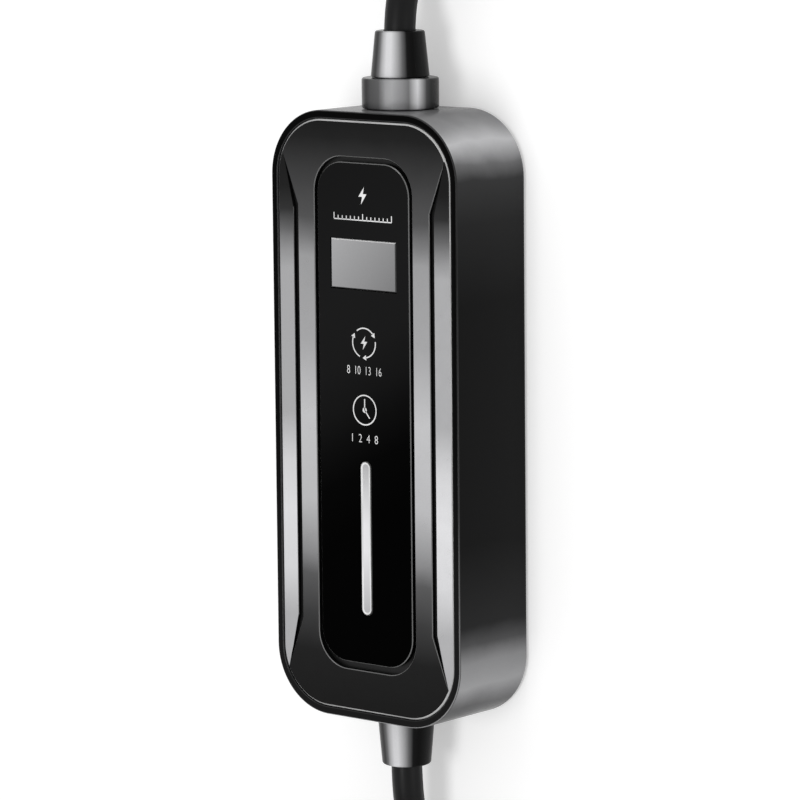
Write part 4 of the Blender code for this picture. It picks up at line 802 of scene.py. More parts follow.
class Shape:
    """Collects the faces of one piece."""

    def __init__(self) -> None:
        """Start with no faces."""
        self.bm = bmesh.new()

    def loft(self, rings: Iterable[Iterable[Vector]], closed: bool = False) -> "Shape":
        """Add a skin through rings of points.

        Args:
            rings: Rings with the same number of points.
            closed: True to join the last ring to the first one.

        Returns:
            This shape.
        """
        loops = [[self.bm.verts.new(point) for point in ring] for ring in rings]
        pairs = list(zip(loops, loops[1:]))
        if closed:
            pairs.append((loops[-1], loops[0]))
        for lower, upper in pairs:
            for index, vertex in enumerate(lower):
                after = (index + 1) % len(lower)
                self.bm.faces.new((vertex, lower[after], upper[after], upper[index]))
        if not closed:
            self.bm.faces.new(loops[0])
            self.bm.faces.new(loops[-1])
        return self

    def turned(
        self,
        profile: Pairs,
        origin: Point,
        direction: Vector = FORWARD,
        sides: int = 64,
        closed: bool = False,
    ) -> "Shape":
        """Add a turned shape.

        Args:
            profile: Pairs of radius and distance along the direction.
            origin: The point that the distances start from.
            direction: The axis of the turning.
            sides: How many sides each ring has.
            closed: True to join the last ring to the first one.

        Returns:
            This shape.
        """
        turn = direction.to_track_quat("Z", "Y")
        rings = []
        for radius, height in profile:
            angles = (math.tau * side / sides for side in range(sides))
            local = (Vector((radius * math.cos(a), radius * math.sin(a), height)) for a in angles)
            rings.append([Vector(origin) + turn @ point for point in local])
        return self.loft(rings, closed)

    def slab(self, outline: Pairs, bottom: float, top: float) -> "Shape":
        """Add a flat slab on an outline of x, y points.

        Args:
            outline: The outline's points.
            bottom: The slab's underside.
            top: The slab's upper side.

        Returns:
            This shape.
        """
        low = [Vector((x, y, bottom)) for x, y in outline]
        high = [Vector((x, y, top)) for x, y in outline]
        return self.loft((low, high))

    def mesh(self, name: str, finish: Finish, angle: float = 32.0) -> Piece:
        """Turn the faces into an object.

        Args:
            name: The piece's name.
            finish: Its finish.
            angle: The angle in degrees past which an edge is sharp.

        Returns:
            The piece's object.
        """
        bmesh.ops.recalc_face_normals(self.bm, faces=self.bm.faces)
        mesh = bpy.data.meshes.new(name)
        self.bm.to_mesh(mesh)
        self.bm.free()
        mesh.shade_smooth()
        mesh.set_sharp_from_angle(angle=math.radians(angle))
        mesh.materials.append(finish.material())
        return add_object(name, mesh)


def seat(piece: Piece, slot: Slot, *nodes: str) -> Piece:
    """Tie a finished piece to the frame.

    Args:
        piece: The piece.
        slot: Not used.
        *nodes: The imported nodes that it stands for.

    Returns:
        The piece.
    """
    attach(piece, ROOT)
    if nodes:
        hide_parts(*nodes)
    return piece


def smooth_line(knots: Sequence[Point], spacing: float) -> np.ndarray:
    """Run a smooth curve through knots and read it at an even spacing.

    Args:
        knots: The points that the curve goes through.
        spacing: The distance between the read points.

    Returns:
        The read points, one in each row.
    """
    points = np.array(knots, float)
    ends = np.vstack((2 * points[0] - points[1], points, 2 * points[-1] - points[-2]))
    steps = 24
    dense = []
    for before, start, end, after in zip(ends, ends[1:], ends[2:], ends[3:]):
        t = np.linspace(0.0, 1.0, steps, endpoint=False)[:, None]
        first = 2 * start + (end - before) * t
        second = (2 * before - 5 * start + 4 * end - after) * t ** 2
        third = (3 * start - before - 3 * end + after) * t ** 3
        dense.append((first + second + third) / 2)
    line = np.vstack((*dense, points[-1:]))
    return even_line(line, spacing)


def even_line(line: np.ndarray, spacing: float) -> np.ndarray:
    """Read a line again at an even spacing.

    Args:
        line: The line's points.
        spacing: The distance between the read points.

    Returns:
        The read points.
    """
    lengths = np.linalg.norm(np.diff(line, axis=0), axis=1)
    run = np.concatenate(([0.0], np.cumsum(lengths)))
    count = max(2, round(run[-1] / spacing))
    wanted = np.linspace(0.0, run[-1], count + 1)
    return np.column_stack([np.interp(wanted, run, line[:, axis]) for axis in range(3)])


@dataclass
class Hank:
    """The room that one folded bundle of cable takes on the floor.

    Attributes:
        half_width: Half its width.
        near: Its end towards the box, as a distance from the middle.
        far: Its other end.
        rest: The height of its underside.
        layers: How many cables lie on each other.
        diameter: The cable's diameter.
        spare: How far a crossing run may rise above the top layer.
    """

    half_width: float
    near: float
    far: float
    rest: float
    layers: int
    diameter: float
    spare: float = 0.0008

    def level(self, layer: float) -> float:
        """Give the height of a layer's middle, counted from 1."""
        return self.rest + self.diameter * (layer - 0.5)


@dataclass
class CableRoute:
    """The way of one cable from its gland through its hank to what is on its end.

    Attributes:
        end: The end of the box that it leaves.
        hank: The bundle that takes up its length.
        lead: The knots from the gland to the hank.
        tail: The knots from the hank to the far end.
        far_slots: Pairs of half width and layer at the far folds.
        near_slots: Pairs of half width and layer at the near folds.
        spacing: The distance between the points of the line.
        rounds: How many times the turns are eased apart.
    """

    end: End
    hank: Hank
    lead: Sequence[Point]
    tail: Sequence[Point]
    far_slots: Pairs
    near_slots: Pairs
    spacing: float = 0.004
    rounds: int = 160

    def fold(self, radius: float, layer: float, far: bool) -> list[Point]:
        """Give the knots of one half turn, from its +X side to its -X side for a far one.

        Args:
            radius: The fold's radius.
            layer: The layer that it lies in.
            far: True at the end away from the box.

        Returns:
            The knots in the order that the cable goes.
        """
        side = self.end.value
        edge = self.hank.half_width
        centre = self.hank.far - edge if far else self.hank.near + edge
        out = 1.0 if far else -1.0
        count = 9
        knots = []
        for step in range(count):
            angle = math.pi * step / (count - 1)
            x = radius * math.cos(angle) * out
            y = side * (centre + out * radius * math.sin(angle))
            knots.append((x, y, self.hank.level(layer)))
        return knots

    def knots(self) -> list[Point]:
        """Give every knot of the way, in the order that the cable goes.

        Returns:
            The knots.
        """
        knots = list(self.lead)
        for index, (radius, layer) in enumerate(self.far_slots):
            knots += self.fold(radius, layer, True)
            if index < len(self.near_slots):
                knots += self.fold(*self.near_slots[index], False)
        return knots + list(self.tail)

    def line(self) -> np.ndarray:
        """Give the cable's middle line, with its turns eased apart.

        Returns:
            The line's points.
        """
        points = smooth_line(self.knots(), self.spacing)
        held = np.zeros(len(points), bool)
        held[: self.held_count(self.lead)] = True
        held[-self.held_count(self.tail):] = True
        return self.eased(points, held)

    def held_count(self, knots: Sequence[Point]) -> int:
        """Give how many points of the line a list of knots takes."""
        stretch = np.linalg.norm(np.diff(np.array(knots), axis=0), axis=1).sum()
        return max(2, int(stretch / self.spacing) - 6)

    def eased(self, points: np.ndarray, held: np.ndarray) -> np.ndarray:
        """Push touching turns apart and keep the line smooth and inside its room.

        Args:
            points: The line's points.
            held: Which points stay where they are.

        Returns:
            The eased points.
        """
        width = self.hank.diameter * 1.01
        skip = int(2.2 * width / self.spacing)
        index = np.arange(len(points))
        apart = np.abs(index[:, None] - index[None, :]) > skip
        start = points.copy()
        for _ in range(self.rounds):
            gaps = points[:, None, :] - points[None, :, :]
            distance = np.linalg.norm(gaps, axis=2)
            push = np.where(apart & (distance < width), (width - distance) / np.maximum(distance, 1e-6), 0.0)
            touching = np.maximum((push > 0).sum(axis=1), 1)[:, None]
            free = points + 0.25 * (gaps * push[:, :, None]).sum(axis=1) / touching * 2
            smooth = free.copy()
            smooth[2:-2] = (-free[:-4] + 4 * free[1:-3] + 10 * free[2:-2] + 4 * free[3:-1] - free[4:]) / 16
            points = np.where(held[:, None], start, smooth)
            points = np.where(held[:, None], points, self.confined(points))
        return points

    def confined(self, points: np.ndarray) -> np.ndarray:
        """Keep points inside the hank's room.

        Args:
            points: The points to keep inside.

        Returns:
            The points, moved where they lay outside.
        """
        side = self.end.value
        hank = self.hank
        radius = hank.half_width - hank.diameter / 2
        low = hank.near + hank.half_width
        high = hank.far - hank.half_width
        along = points[:, 1] * side
        middle = np.clip(along, low, high)
        from_axis = np.column_stack((points[:, 0], along - middle))
        reach = np.linalg.norm(from_axis, axis=1)
        share = np.minimum(1.0, radius / np.maximum(reach, 1e-9))
        kept = points.copy()
        kept[:, 0] = from_axis[:, 0] * share
        kept[:, 1] = side * (middle + from_axis[:, 1] * share)
        kept[:, 2] = np.clip(points[:, 2], hank.level(1), hank.level(hank.layers) + hank.spare)
        return kept


@dataclass
class Cable:
    """One free cable of the box.

    Attributes:
        name: The piece's name.
        route: Its way.
        exit: Where it leaves its strain relief.
        nodes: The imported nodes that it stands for.
        diameter: Its outside diameter.
    """

    name: str
    route: CableRoute
    exit: Point
    far_end: str
    nodes: tuple[str, ...]
    diameter: float = 0.012

    def build(self, with_pieces: Sequence[object]) -> Piece:
        """Args:
            with_pieces: Not used.

        Returns:
            The cable's object.
        """
        line = self.route.line()
        curve = bpy.data.curves.new(self.name, "CURVE")
        curve.dimensions = "3D"
        curve.bevel_depth = self.diameter / 2
        curve.bevel_resolution = 5
        curve.use_fill_caps = True
        curve.materials.append(CABLE_JACKET.material())
        spline = curve.splines.new("POLY")
        spline.points.add(len(line) - 1)
        spline.points.foreach_set("co", np.column_stack((line, np.ones(len(line)))).ravel())
        piece = add_object(self.name, curve)
        seat(piece, Slot.CABLE_BLACK, *self.nodes)
        return piece


def half_turn(
    middle: tuple[float, float], side: int, low: float, high: float, radius: float = 0.036, steps: int = 8
) -> list[Point]:
    """Give the points of a half circle round the near end of a hank.

    Args:
        middle: The circle's middle.
        side: The side of the X axis where it starts, 1 or -1.
        low: The height where it starts.
        high: The height where it ends.
        radius: The circle's radius.
        steps: How many steps it has.

    Returns:
        The points, from one side round to the other.
    """
    points = []
    for step in range(steps + 1):
        angle = math.pi * step / steps
        rise = (1 - math.cos(angle)) / 2
        x, y = middle[0] + side * radius * math.cos(angle), middle[1] - radius * math.sin(angle)
        points.append((x, y, low + (high - low) * rise))
    return points


def supply_cable() -> Cable:
    """Give the cable that goes to the mains plug.

    Returns:
        The cable.
    """
    hank = Hank(half_width=0.042, near=0.195, far=0.375, rest=0.0015, layers=2, diameter=0.012)
    lead = (
        (0.0, 0.1303, 0.0185), (0.0, 0.1440, 0.0185), (0.0, 0.1550, 0.0171), (0.0, 0.1660, 0.0135),
        (0.0, 0.1770, 0.0095), (0.0, 0.1880, 0.0076), (0.0, 0.1947, 0.0075), (0.0020, 0.2080, 0.0075),
        (0.0100, 0.2280, 0.0075), (0.0220, 0.2500, 0.0075), (0.0320, 0.2750, 0.0075),
        (0.0360, 0.3000, 0.0075),
    )
    tail = (
        (-0.0360, 0.3100, 0.0195), (-0.0360, 0.2850, 0.0197), (-0.0360, 0.2660, 0.0216),
        (-0.0360, 0.2500, 0.0260),
        *half_turn((0.0, 0.2372), -1, 0.0298, 0.0352),
        (0.0338, 0.2500, 0.0372), (0.0285, 0.2660, 0.0406), (0.0228, 0.2810, 0.0440),
        (0.0205, 0.2890, 0.0452), (0.0200, 0.2955, 0.0453),
    )
    route = CableRoute(End.SUPPLY, hank, lead, tail, ((0.036, 1), (0.036, 2)), ((0.036, 2),))
    nodes = ("supply_lead", "supply_hank", "supply_tail")
    return Cable("supply_cable", route, (0.0, 0.1442, 0.0185), "plug", nodes)


def vehicle_cable() -> Cable:
    """Give the cable that goes to the vehicle connector.

    Returns:
        The cable.
    """
    hank = Hank(half_width=0.054, near=0.195, far=0.400, rest=0.0015, layers=4, diameter=0.012, spare=0.012)
    lead = (
        (0.0, -0.1223, 0.0185), (0.0, -0.1360, 0.0185), (0.0, -0.1500, 0.0173), (0.0, -0.1630, 0.0137),
        (0.0, -0.1760, 0.0096), (0.0, -0.1880, 0.0076), (0.0, -0.1947, 0.0075),
        (0.0030, -0.2080, 0.0075), (0.0140, -0.2300, 0.0075), (0.0300, -0.2540, 0.0075),
        (0.0430, -0.2820, 0.0075), (0.0480, -0.3100, 0.0075),
    )
    tail = (
        (0.0480, -0.3200, 0.0480), (0.0480, -0.3340, 0.0485),
        *half_turn((0.0120, -0.3450), 1, 0.0492, 0.0642),
        (-0.0240, -0.3385, 0.0642), (-0.0240, -0.3320, 0.0642),
    )
    far = ((0.048, 1), (0.036, 1), (0.036, 2), (0.048, 2), (0.048, 3), (0.036, 3))
    near = ((0.048, 2), (0.036, 2), (0.036, 3), (0.048, 3), (0.048, 4), (0.036, 4))
    route = CableRoute(End.VEHICLE, hank, lead, tail, far, near)
    nodes = ("vehicle_lead", "vehicle_hank", "vehicle_tail")
    return Cable("vehicle_cable", route, (0.0, -0.1351, 0.0185), "connector", nodes)


def ring_of(
    half_x: float, half_y: float, radius: float, z: float, centre_y: float = 0.0, steps: int = 24
) -> Ring:
    """Give the points of a rectangle with round corners at a height.

    Args:
        half_x: Half its width.
        half_y: Half its length.
        radius: The corners' radius.
        z: The height.
        centre_y: The middle's place along the box.
        steps: How many steps each corner has.

    Returns:
        The ring's points.
    """
    points = []
    for side_x, side_y, start in ((1, 1, 0.0), (-1, 1, 0.5), (-1, -1, 1.0), (1, -1, 1.5)):
        for step in range(steps + 1):
            angle = math.pi * (start + 0.5 * step / steps)
            x = side_x * (half_x - radius) + radius * math.cos(angle)
            y = side_y * (half_y - radius) + radius * math.sin(angle)
            points.append(Vector((x, centre_y + y, z)))
    return points


def settle(piece: Piece) -> Piece:
    """Turn a piece with modifiers into a plain mesh.

    Args:
        piece: The piece.

    Returns:
        The piece, without modifiers.
    """
    graph = bpy.context.evaluated_depsgraph_get()
    made = bpy.data.meshes.new_from_object(piece.evaluated_get(graph))
    old = piece.data
    piece.modifiers.clear()
    piece.data = made
    bpy.data.meshes.remove(old)
    made.name = piece.name
    return piece


def carve(piece: Piece, tool: Shape, operation: str = "DIFFERENCE") -> Piece:
    """Cut a shape out of a piece, or join it.

    Args:
        piece: The piece to change.
        tool: The shape.
        operation: The Boolean modifier's operation.

    Returns:
        The changed piece.
    """
    guide = tool.mesh("guide", SEAL_RUBBER)
    modifier = piece.modifiers.new("carve", "BOOLEAN")
    modifier.operation = operation
    modifier.solver = "EXACT"
    modifier.material_mode = "INDEX"
    modifier.object = guide
    settle(piece)
    bpy.data.objects.remove(guide, do_unlink=True)
    return piece


def crease(piece: Piece, angle: float = 32.0) -> Piece:
    """Shade a piece smoothly up to an angle in degrees."""
    piece.data.shade_smooth()
    piece.data.set_sharp_from_angle(angle=math.radians(angle))
    return piece


def paint(piece: Piece, finishes: Sequence[Finish], choose: Callable[[Face], int]) -> Piece:
    """Give each face of a piece one of several finishes.

    Args:
        piece: The piece.
        finishes: The finishes.
        choose: Gives the number of the finish for a face.

    Returns:
        The piece.
    """
    piece.data.materials.clear()
    for finish in finishes:
        piece.data.materials.append(finish.material())
    for face in piece.data.polygons:
        face.material_index = choose(face)
    return piece


class Recipe:
    """Builds one Geometry Nodes tree with named inputs."""

    SOCKETS = {
        float: "NodeSocketFloat",
        int: "NodeSocketInt",
        Vector: "NodeSocketVector",
        Piece: "NodeSocketObject",
        bpy.types.Material: "NodeSocketMaterial",
    }

    def __init__(self, name: str) -> None:
        """Start a tree that has a geometry going in and one coming out.

        Args:
            name: The tree's name.
        """
        self.tree = bpy.data.node_groups.new(name, "GeometryNodeTree")
        self.tree.interface.new_socket("Geometry", in_out="INPUT", socket_type="NodeSocketGeometry")
        self.tree.interface.new_socket("Geometry", in_out="OUTPUT", socket_type="NodeSocketGeometry")
        self.entry = self.tree.nodes.new("NodeGroupInput")
        self.values: dict[str, object] = {}

    def take(self, label: str, value: object) -> Socket:
        """Add a named input.

        Args:
            label: The input's name.
            value: What the input is set to.

        Returns:
            The socket that gives the input's value.
        """
        kind = next(kind for form, kind in self.SOCKETS.items() if isinstance(value, form))
        item = self.tree.interface.new_socket(label, in_out="INPUT", socket_type=kind)
        self.values[item.identifier] = value
        return next(socket for socket in self.entry.outputs if socket.identifier == item.identifier)

    def node(self, kind: str, links: dict[str, object] | None = None, **settings: object) -> bpy.types.Node:
        """Add a node.

        Args:
            kind: The node's type name.
            links: What goes into its named sockets, sockets or plain values.
            **settings: Properties of the node.

        Returns:
            The new node.
        """
        made = self.tree.nodes.new(kind)
        for key, value in settings.items():
            setattr(made, key, value)
        for label, value in (links or {}).items():
            socket = next(s for s in made.inputs if s.name == label and s.enabled)
            if isinstance(value, Socket):
                self.tree.links.new(value, socket)
            else:
                socket.default_value = value
        return made

    def copies(self, item: Piece, points: Socket, turn: Socket) -> Socket:
        """Set an item on points.

        Args:
            item: The object to repeat.
            points: Where the copies go.
            turn: How each copy is turned.

        Returns:
            The copies' socket.
        """
        thing = self.node("GeometryNodeObjectInfo", {"Object": self.take("Item", item)})
        links = {"Points": points, "Instance": thing.outputs["Geometry"], "Rotation": turn}
        return self.node("GeometryNodeInstanceOnPoints", links).outputs[0]

    def grow(
        self, name: str, geometry: Socket, item: Piece, finish: Finish, base: bpy.types.Mesh | None = None
    ) -> Piece:
        """Close the tree, run it once and keep its result as a plain mesh.

        Args:
            name: The piece's name.
            geometry: What the tree has made.
            item: The repeated object, which is removed afterwards.
            finish: The piece's finish.
            base: The mesh that goes in, or None for an empty one.

        Returns:
            The piece's object.
        """
        material = self.take("Material", finish.material())
        real = self.node("GeometryNodeRealizeInstances", {"Geometry": geometry})
        dressed = self.node("GeometryNodeSetMaterial", {"Geometry": real.outputs[0], "Material": material})
        leave = self.tree.nodes.new("NodeGroupOutput")
        self.tree.links.new(dressed.outputs[0], leave.inputs[0])
        piece = add_object(name, base or bpy.data.meshes.new(name))
        modifier = piece.modifiers.new("recipe", "NODES")
        modifier.node_group = self.tree
        for identifier, value in self.values.items():
            modifier[identifier] = list(value) if isinstance(value, Vector) else value
        settle(piece)
        bpy.data.objects.remove(item, do_unlink=True)
        return piece


def points_mesh(
    name: str, points: Iterable[Iterable[float]], joined: bool = False, closed: bool = False
) -> bpy.types.Mesh:
    """Give a mesh of loose points, or of points joined in a line.

    Args:
        name: The mesh's name.
        points: The points.
        joined: True to join each point to the next one.
        closed: True to join the last point to the first one.

    Returns:
        The mesh.
    """
    rows = [tuple(point) for point in points]
    edges = [(index, index + 1) for index in range(len(rows) - 1)] if joined else []
    if joined and closed:
        edges.append((len(rows) - 1, 0))
    mesh = bpy.data.meshes.new(name)
    mesh.from_pydata(rows, edges, [])
    return mesh


def set_at_places(
    name: str, item: Piece, places: Sequence[Point], finish: Finish, seed: int = 0, spin: float = 0.0
) -> Piece:
    """Repeat an item at places with Geometry Nodes.

    Args:
        name: The piece's name.
        item: The object to repeat.
        places: Where the copies go.
        finish: The piece's finish.
        seed: The seed of the turning.
        spin: The largest turn about the upright axis, in radians.

    Returns:
        The piece's object.
    """
    recipe = Recipe(name + "_recipe")
    turn = recipe.node(
        "FunctionNodeRandomValue",
        {"Max": recipe.take("Largest turn", float(spin)), "Seed": recipe.take("Seed", seed)},
        data_type="FLOAT",
    )
    euler = recipe.node("ShaderNodeCombineXYZ", {"Z": turn.outputs[1]})
    rotation = recipe.node("FunctionNodeEulerToRotation", {"Euler": euler.outputs[0]})
    cloud = recipe.node("GeometryNodeMeshToPoints", {"Mesh": recipe.entry.outputs[0]})
    copies = recipe.copies(item, cloud.outputs[0], rotation.outputs[0])
    return recipe.grow(name, copies, item, finish, points_mesh(name, places))


def set_round_axis(name: str, item: Piece, count: int, radius: float, centre: Point, finish: Finish) -> Piece:
    """Repeat an item round an axis that lies along the box, with Geometry Nodes.

    Args:
        name: The piece's name.
        item: The object to repeat, its X axis pointing outwards and its Z axis along.
        count: How many copies there are.
        radius: How far they are from the axis.
        centre: The point of the axis that the ring stands on.
        finish: The piece's finish.

    Returns:
        The piece's object.
    """
    recipe = Recipe(name + "_recipe")
    circle = recipe.node(
        "GeometryNodeMeshCircle",
        {"Vertices": recipe.take("Count", count), "Radius": recipe.take("Radius", float(radius))},
    )
    cloud = recipe.node("GeometryNodeMeshToPoints", {"Mesh": circle.outputs[0]})
    outwards = recipe.node("GeometryNodeInputPosition")
    turn = recipe.node(
        "FunctionNodeAlignRotationToVector", {"Vector": outwards.outputs[0]}, axis="X", pivot_axis="Z"
    )
    copies = recipe.copies(item, cloud.outputs[0], turn.outputs[0])
    laid = recipe.node("GeometryNodeTransform", {"Geometry": copies, "Rotation": (-math.pi / 2, 0.0, 0.0)})
    moved = recipe.node(
        "GeometryNodeTransform",
        {"Geometry": laid.outputs[0], "Translation": recipe.take("Centre", Vector(centre))},
    )
    return recipe.grow(name, moved.outputs[0], item, finish)


def set_along_path(name: str, item: Piece, path: bpy.types.Mesh, pitch: float, finish: Finish) -> Piece:
    """Repeat an item along a path with Geometry Nodes.

    Args:
        name: The piece's name.
        item: The object to repeat, its X axis along the path.
        path: A mesh of points joined in a line.
        pitch: The distance between the copies.
        finish: The piece's finish.

    Returns:
        The piece's object.
    """
    recipe = Recipe(name + "_recipe")
    line = recipe.node("GeometryNodeMeshToCurve", {"Mesh": recipe.entry.outputs[0]})
    even = recipe.node("GeometryNodeResampleCurve", {"Curve": line.outputs[0]})
    even.mode = "LENGTH"
    length = next(socket for socket in even.inputs if socket.name == "Length")
    recipe.tree.links.new(recipe.take("Pitch", float(pitch)), length)
    tangent = recipe.node("GeometryNodeInputTangent")
    turn = recipe.node("FunctionNodeAlignRotationToVector", {"Vector": tangent.outputs[0]}, axis="X")
    copies = recipe.copies(item, even.outputs[0], turn.outputs[0])
    return recipe.grow(name, copies, item, finish, path)


@dataclass(frozen=True)
class BoxForm:
    """The outer form of the box that its pieces share.

    Attributes:
        half_width: Half the box's width.
        half_length: Half its length.
        depth: Its depth.
        corner: The radius of its corners.
        rim: The width of the rim round the cover.
        gap: The gap between fitted pieces.
        screw_x: How far the cover screws are from the middle.
        screw_y: How far they are along the box.
        gland_z: The height of the cable glands' axis.
    """

    half_width: float = 0.045
    half_length: float = 0.115
    depth: float = 0.041
    corner: float = 0.025
    rim: float = 0.003
    gap: float = 0.0003
    screw_x: float = 0.030
    screw_y: float = 0.098
    gland_z: float = 0.0185

    def ring(self, inset: float, z: float) -> Ring:
        """Give the box's outline, moved inwards, at a height."""
        return ring_of(self.half_width - inset, self.half_length - inset, self.corner - inset, z)

    def screw_places(self) -> list[tuple[float, float]]:
        """Give the x, y places of the four cover screws."""
        return [(x * self.screw_x, y * self.screw_y) for x in (-1, 1) for y in (-1, 1)]

    def inset_of(self, x: float, y: float) -> float:
        """Give how far a point lies inside the box's outline."""
        across = abs(x) - (self.half_width - self.corner)
        along = abs(y) - (self.half_length - self.corner)
        return self.corner - math.hypot(max(across, 0.0), max(along, 0.0)) - min(max(across, along), 0.0)


FORM = BoxForm()


@dataclass
class Housing:
    """The deep tub of the box.

    Attributes:
        form: The box's outer form.
        back_round: The radius along the back's edge.
        edge: The radius of the rim's edges.
        ledge: The width of the ledge that carries the seal.
        ledge_depth: How deep the ledge lies under the rim.
        floor: The back wall's thickness.
        column_top: The height of the screw columns.
        well_depth: The depth of the screw wells in the back.
    """

    form: BoxForm = FORM
    back_round: float = 0.0020
    edge: float = 0.0006
    ledge: float = 0.0015
    ledge_depth: float = 0.0060
    floor: float = 0.0030
    column_top: float = 0.0220
    well_depth: float = 0.0160
    column_radius: float = 0.0045
    well_radius: float = 0.0032
    shank_radius: float = 0.0018
    post_radius: float = 0.0030
    post_x: float = 0.0270
    post_y: float = 0.0800
    post_top: float = 0.0070
    hole_radius: float = 0.0098

    def outline(self) -> list[Ring]:
        """Give the rings of the tub, from its back round the rim to its floor.

        Returns:
            The rings.
        """
        form = self.form
        wall = form.rim + self.ledge
        rings = [form.ring(drop, inset) for inset, drop in quarter(self.back_round, 8)]
        rings += [form.ring(inset, form.depth - drop) for inset, drop in quarter(self.edge)]
        rings += [form.ring(form.rim - drop, form.depth - inset) for inset, drop in quarter(self.edge)]
        rings.append(form.ring(form.rim, form.depth - self.ledge_depth))
        rings.append(form.ring(wall, form.depth - self.ledge_depth))
        rings.append(form.ring(wall, self.floor + self.ledge))
        rings.append(form.ring(wall + self.ledge, self.floor))
        return rings

    def build(self) -> Piece:
        """Make the tub.

        Returns:
            The tub's object.
        """
        form = self.form
        tub = Shape().loft(self.outline()).mesh("housing_tub", GLOSS_HOUSING)
        holes = Shape()
        for end in End:
            direction = TO_SUPPLY * end.value
            start = (0.0, end.value * (form.half_length - 0.009), form.gland_z)
            holes.turned(((self.hole_radius, 0.0), (self.hole_radius, 0.012)), start, direction)
        carve(tub, holes)
        posts = Shape()
        for x, y in form.screw_places():
            posts.turned(
                ((self.column_radius, self.floor / 2), (self.column_radius, self.column_top)),
                (x, y, 0.0),
                sides=32,
            )
        for x in (-self.post_x, self.post_x):
            for y in (-self.post_y, self.post_y):
                posts.turned(
                    ((self.post_radius, self.floor / 2), (self.post_radius, self.post_top)),
                    (x, y, 0.0),
                    sides=24,
                )
        carve(tub, posts, "UNION")
        wells = Shape()
        flare = self.well_radius + 2 * self.edge
        for x, y in form.screw_places():
            profile = (
                (flare, -self.edge),
                (self.well_radius, self.edge),
                (self.well_radius, self.well_depth),
                (self.shank_radius, self.well_depth),
                (self.shank_radius, self.column_top + form.gap),
            )
            wells.turned(profile, (x, y, 0.0), sides=32)
        carve(tub, wells)
        # The outer wall, the rim and the rim's outer edge get painted highlights and painted reflection.
        paint(tub, (GLOSS_HOUSING, WALL_PAINTED_HIGHLIGHTS, RIM_PAINTED_REFLECTION, RIM_EDGE_HIGHLIGHT), self.finish_of)
        return seat(crease(tub), Slot.GLOSS_BLACK, "housing")

    def finish_of(self, face: Face) -> int:
        """Give the number of a face's finish: plain, outer wall with painted highlights, rim with painted
        reflection or the rim's outer edge with a painted highlight.

        Args:
            face: A face of the piece.

        Returns:
            The finish's number.
        """
        middle, upright = face.center, face.normal.z
        inset = self.form.inset_of(middle.x, middle.y)
        if middle.z > self.form.depth - 1.2 * self.edge and inset < self.form.rim:
            if upright > 0.97:
                return 2
            return 3 if inset < self.edge and upright > 0.2 else 0
        return 1 if inset < self.edge / 2 and abs(upright) < 0.5 else 0


# Near black for the cover's grooves, pocket walls and underside; in the grooves it also stands for painted
# shade.
COVER_RECESS_AND_SHADE = MouldedPlastic("cover_black_recess", (0.003, 0.003, 0.003), 0.4, 0.04, 0.0008, 0.000006, 0.2)


@dataclass(frozen=True)
class PanelWindows:
    """The openings that the cover's tray and the panel share.

    Attributes:
        half_x: Half the display window's width.
        half_y: Half its height.
        lens_y: Its middle along the box.
        bar_y: The light bar's middle along the box.
        bar_half: Half the light bar's slot.
        bar_radius: The radius of the slot's ends.
    """

    half_x: float = 0.0161
    half_y: float = 0.0096
    lens_y: float = 0.0581
    bar_y: float = -0.0452
    bar_half: float = 0.0298
    bar_radius: float = 0.0030

    def tool(self, low: float, high: float, steps: int) -> Shape:
        """Give the shape that cuts the openings.

        Args:
            low: Its underside.
            high: Its upper side.
            steps: How many steps each corner of the slot has.

        Returns:
            The shape.
        """
        tool = Shape()
        corners = ((-1, -1), (1, -1), (1, 1), (-1, 1))
        tool.slab([(x * self.half_x, self.lens_y + y * self.half_y) for x, y in corners], low, high)
        tool.loft(
            [
                ring_of(self.bar_radius, self.bar_half, self.bar_radius, z, self.bar_y, steps)
                for z in (low, high)
            ],
        )
        return tool


WINDOWS = PanelWindows()


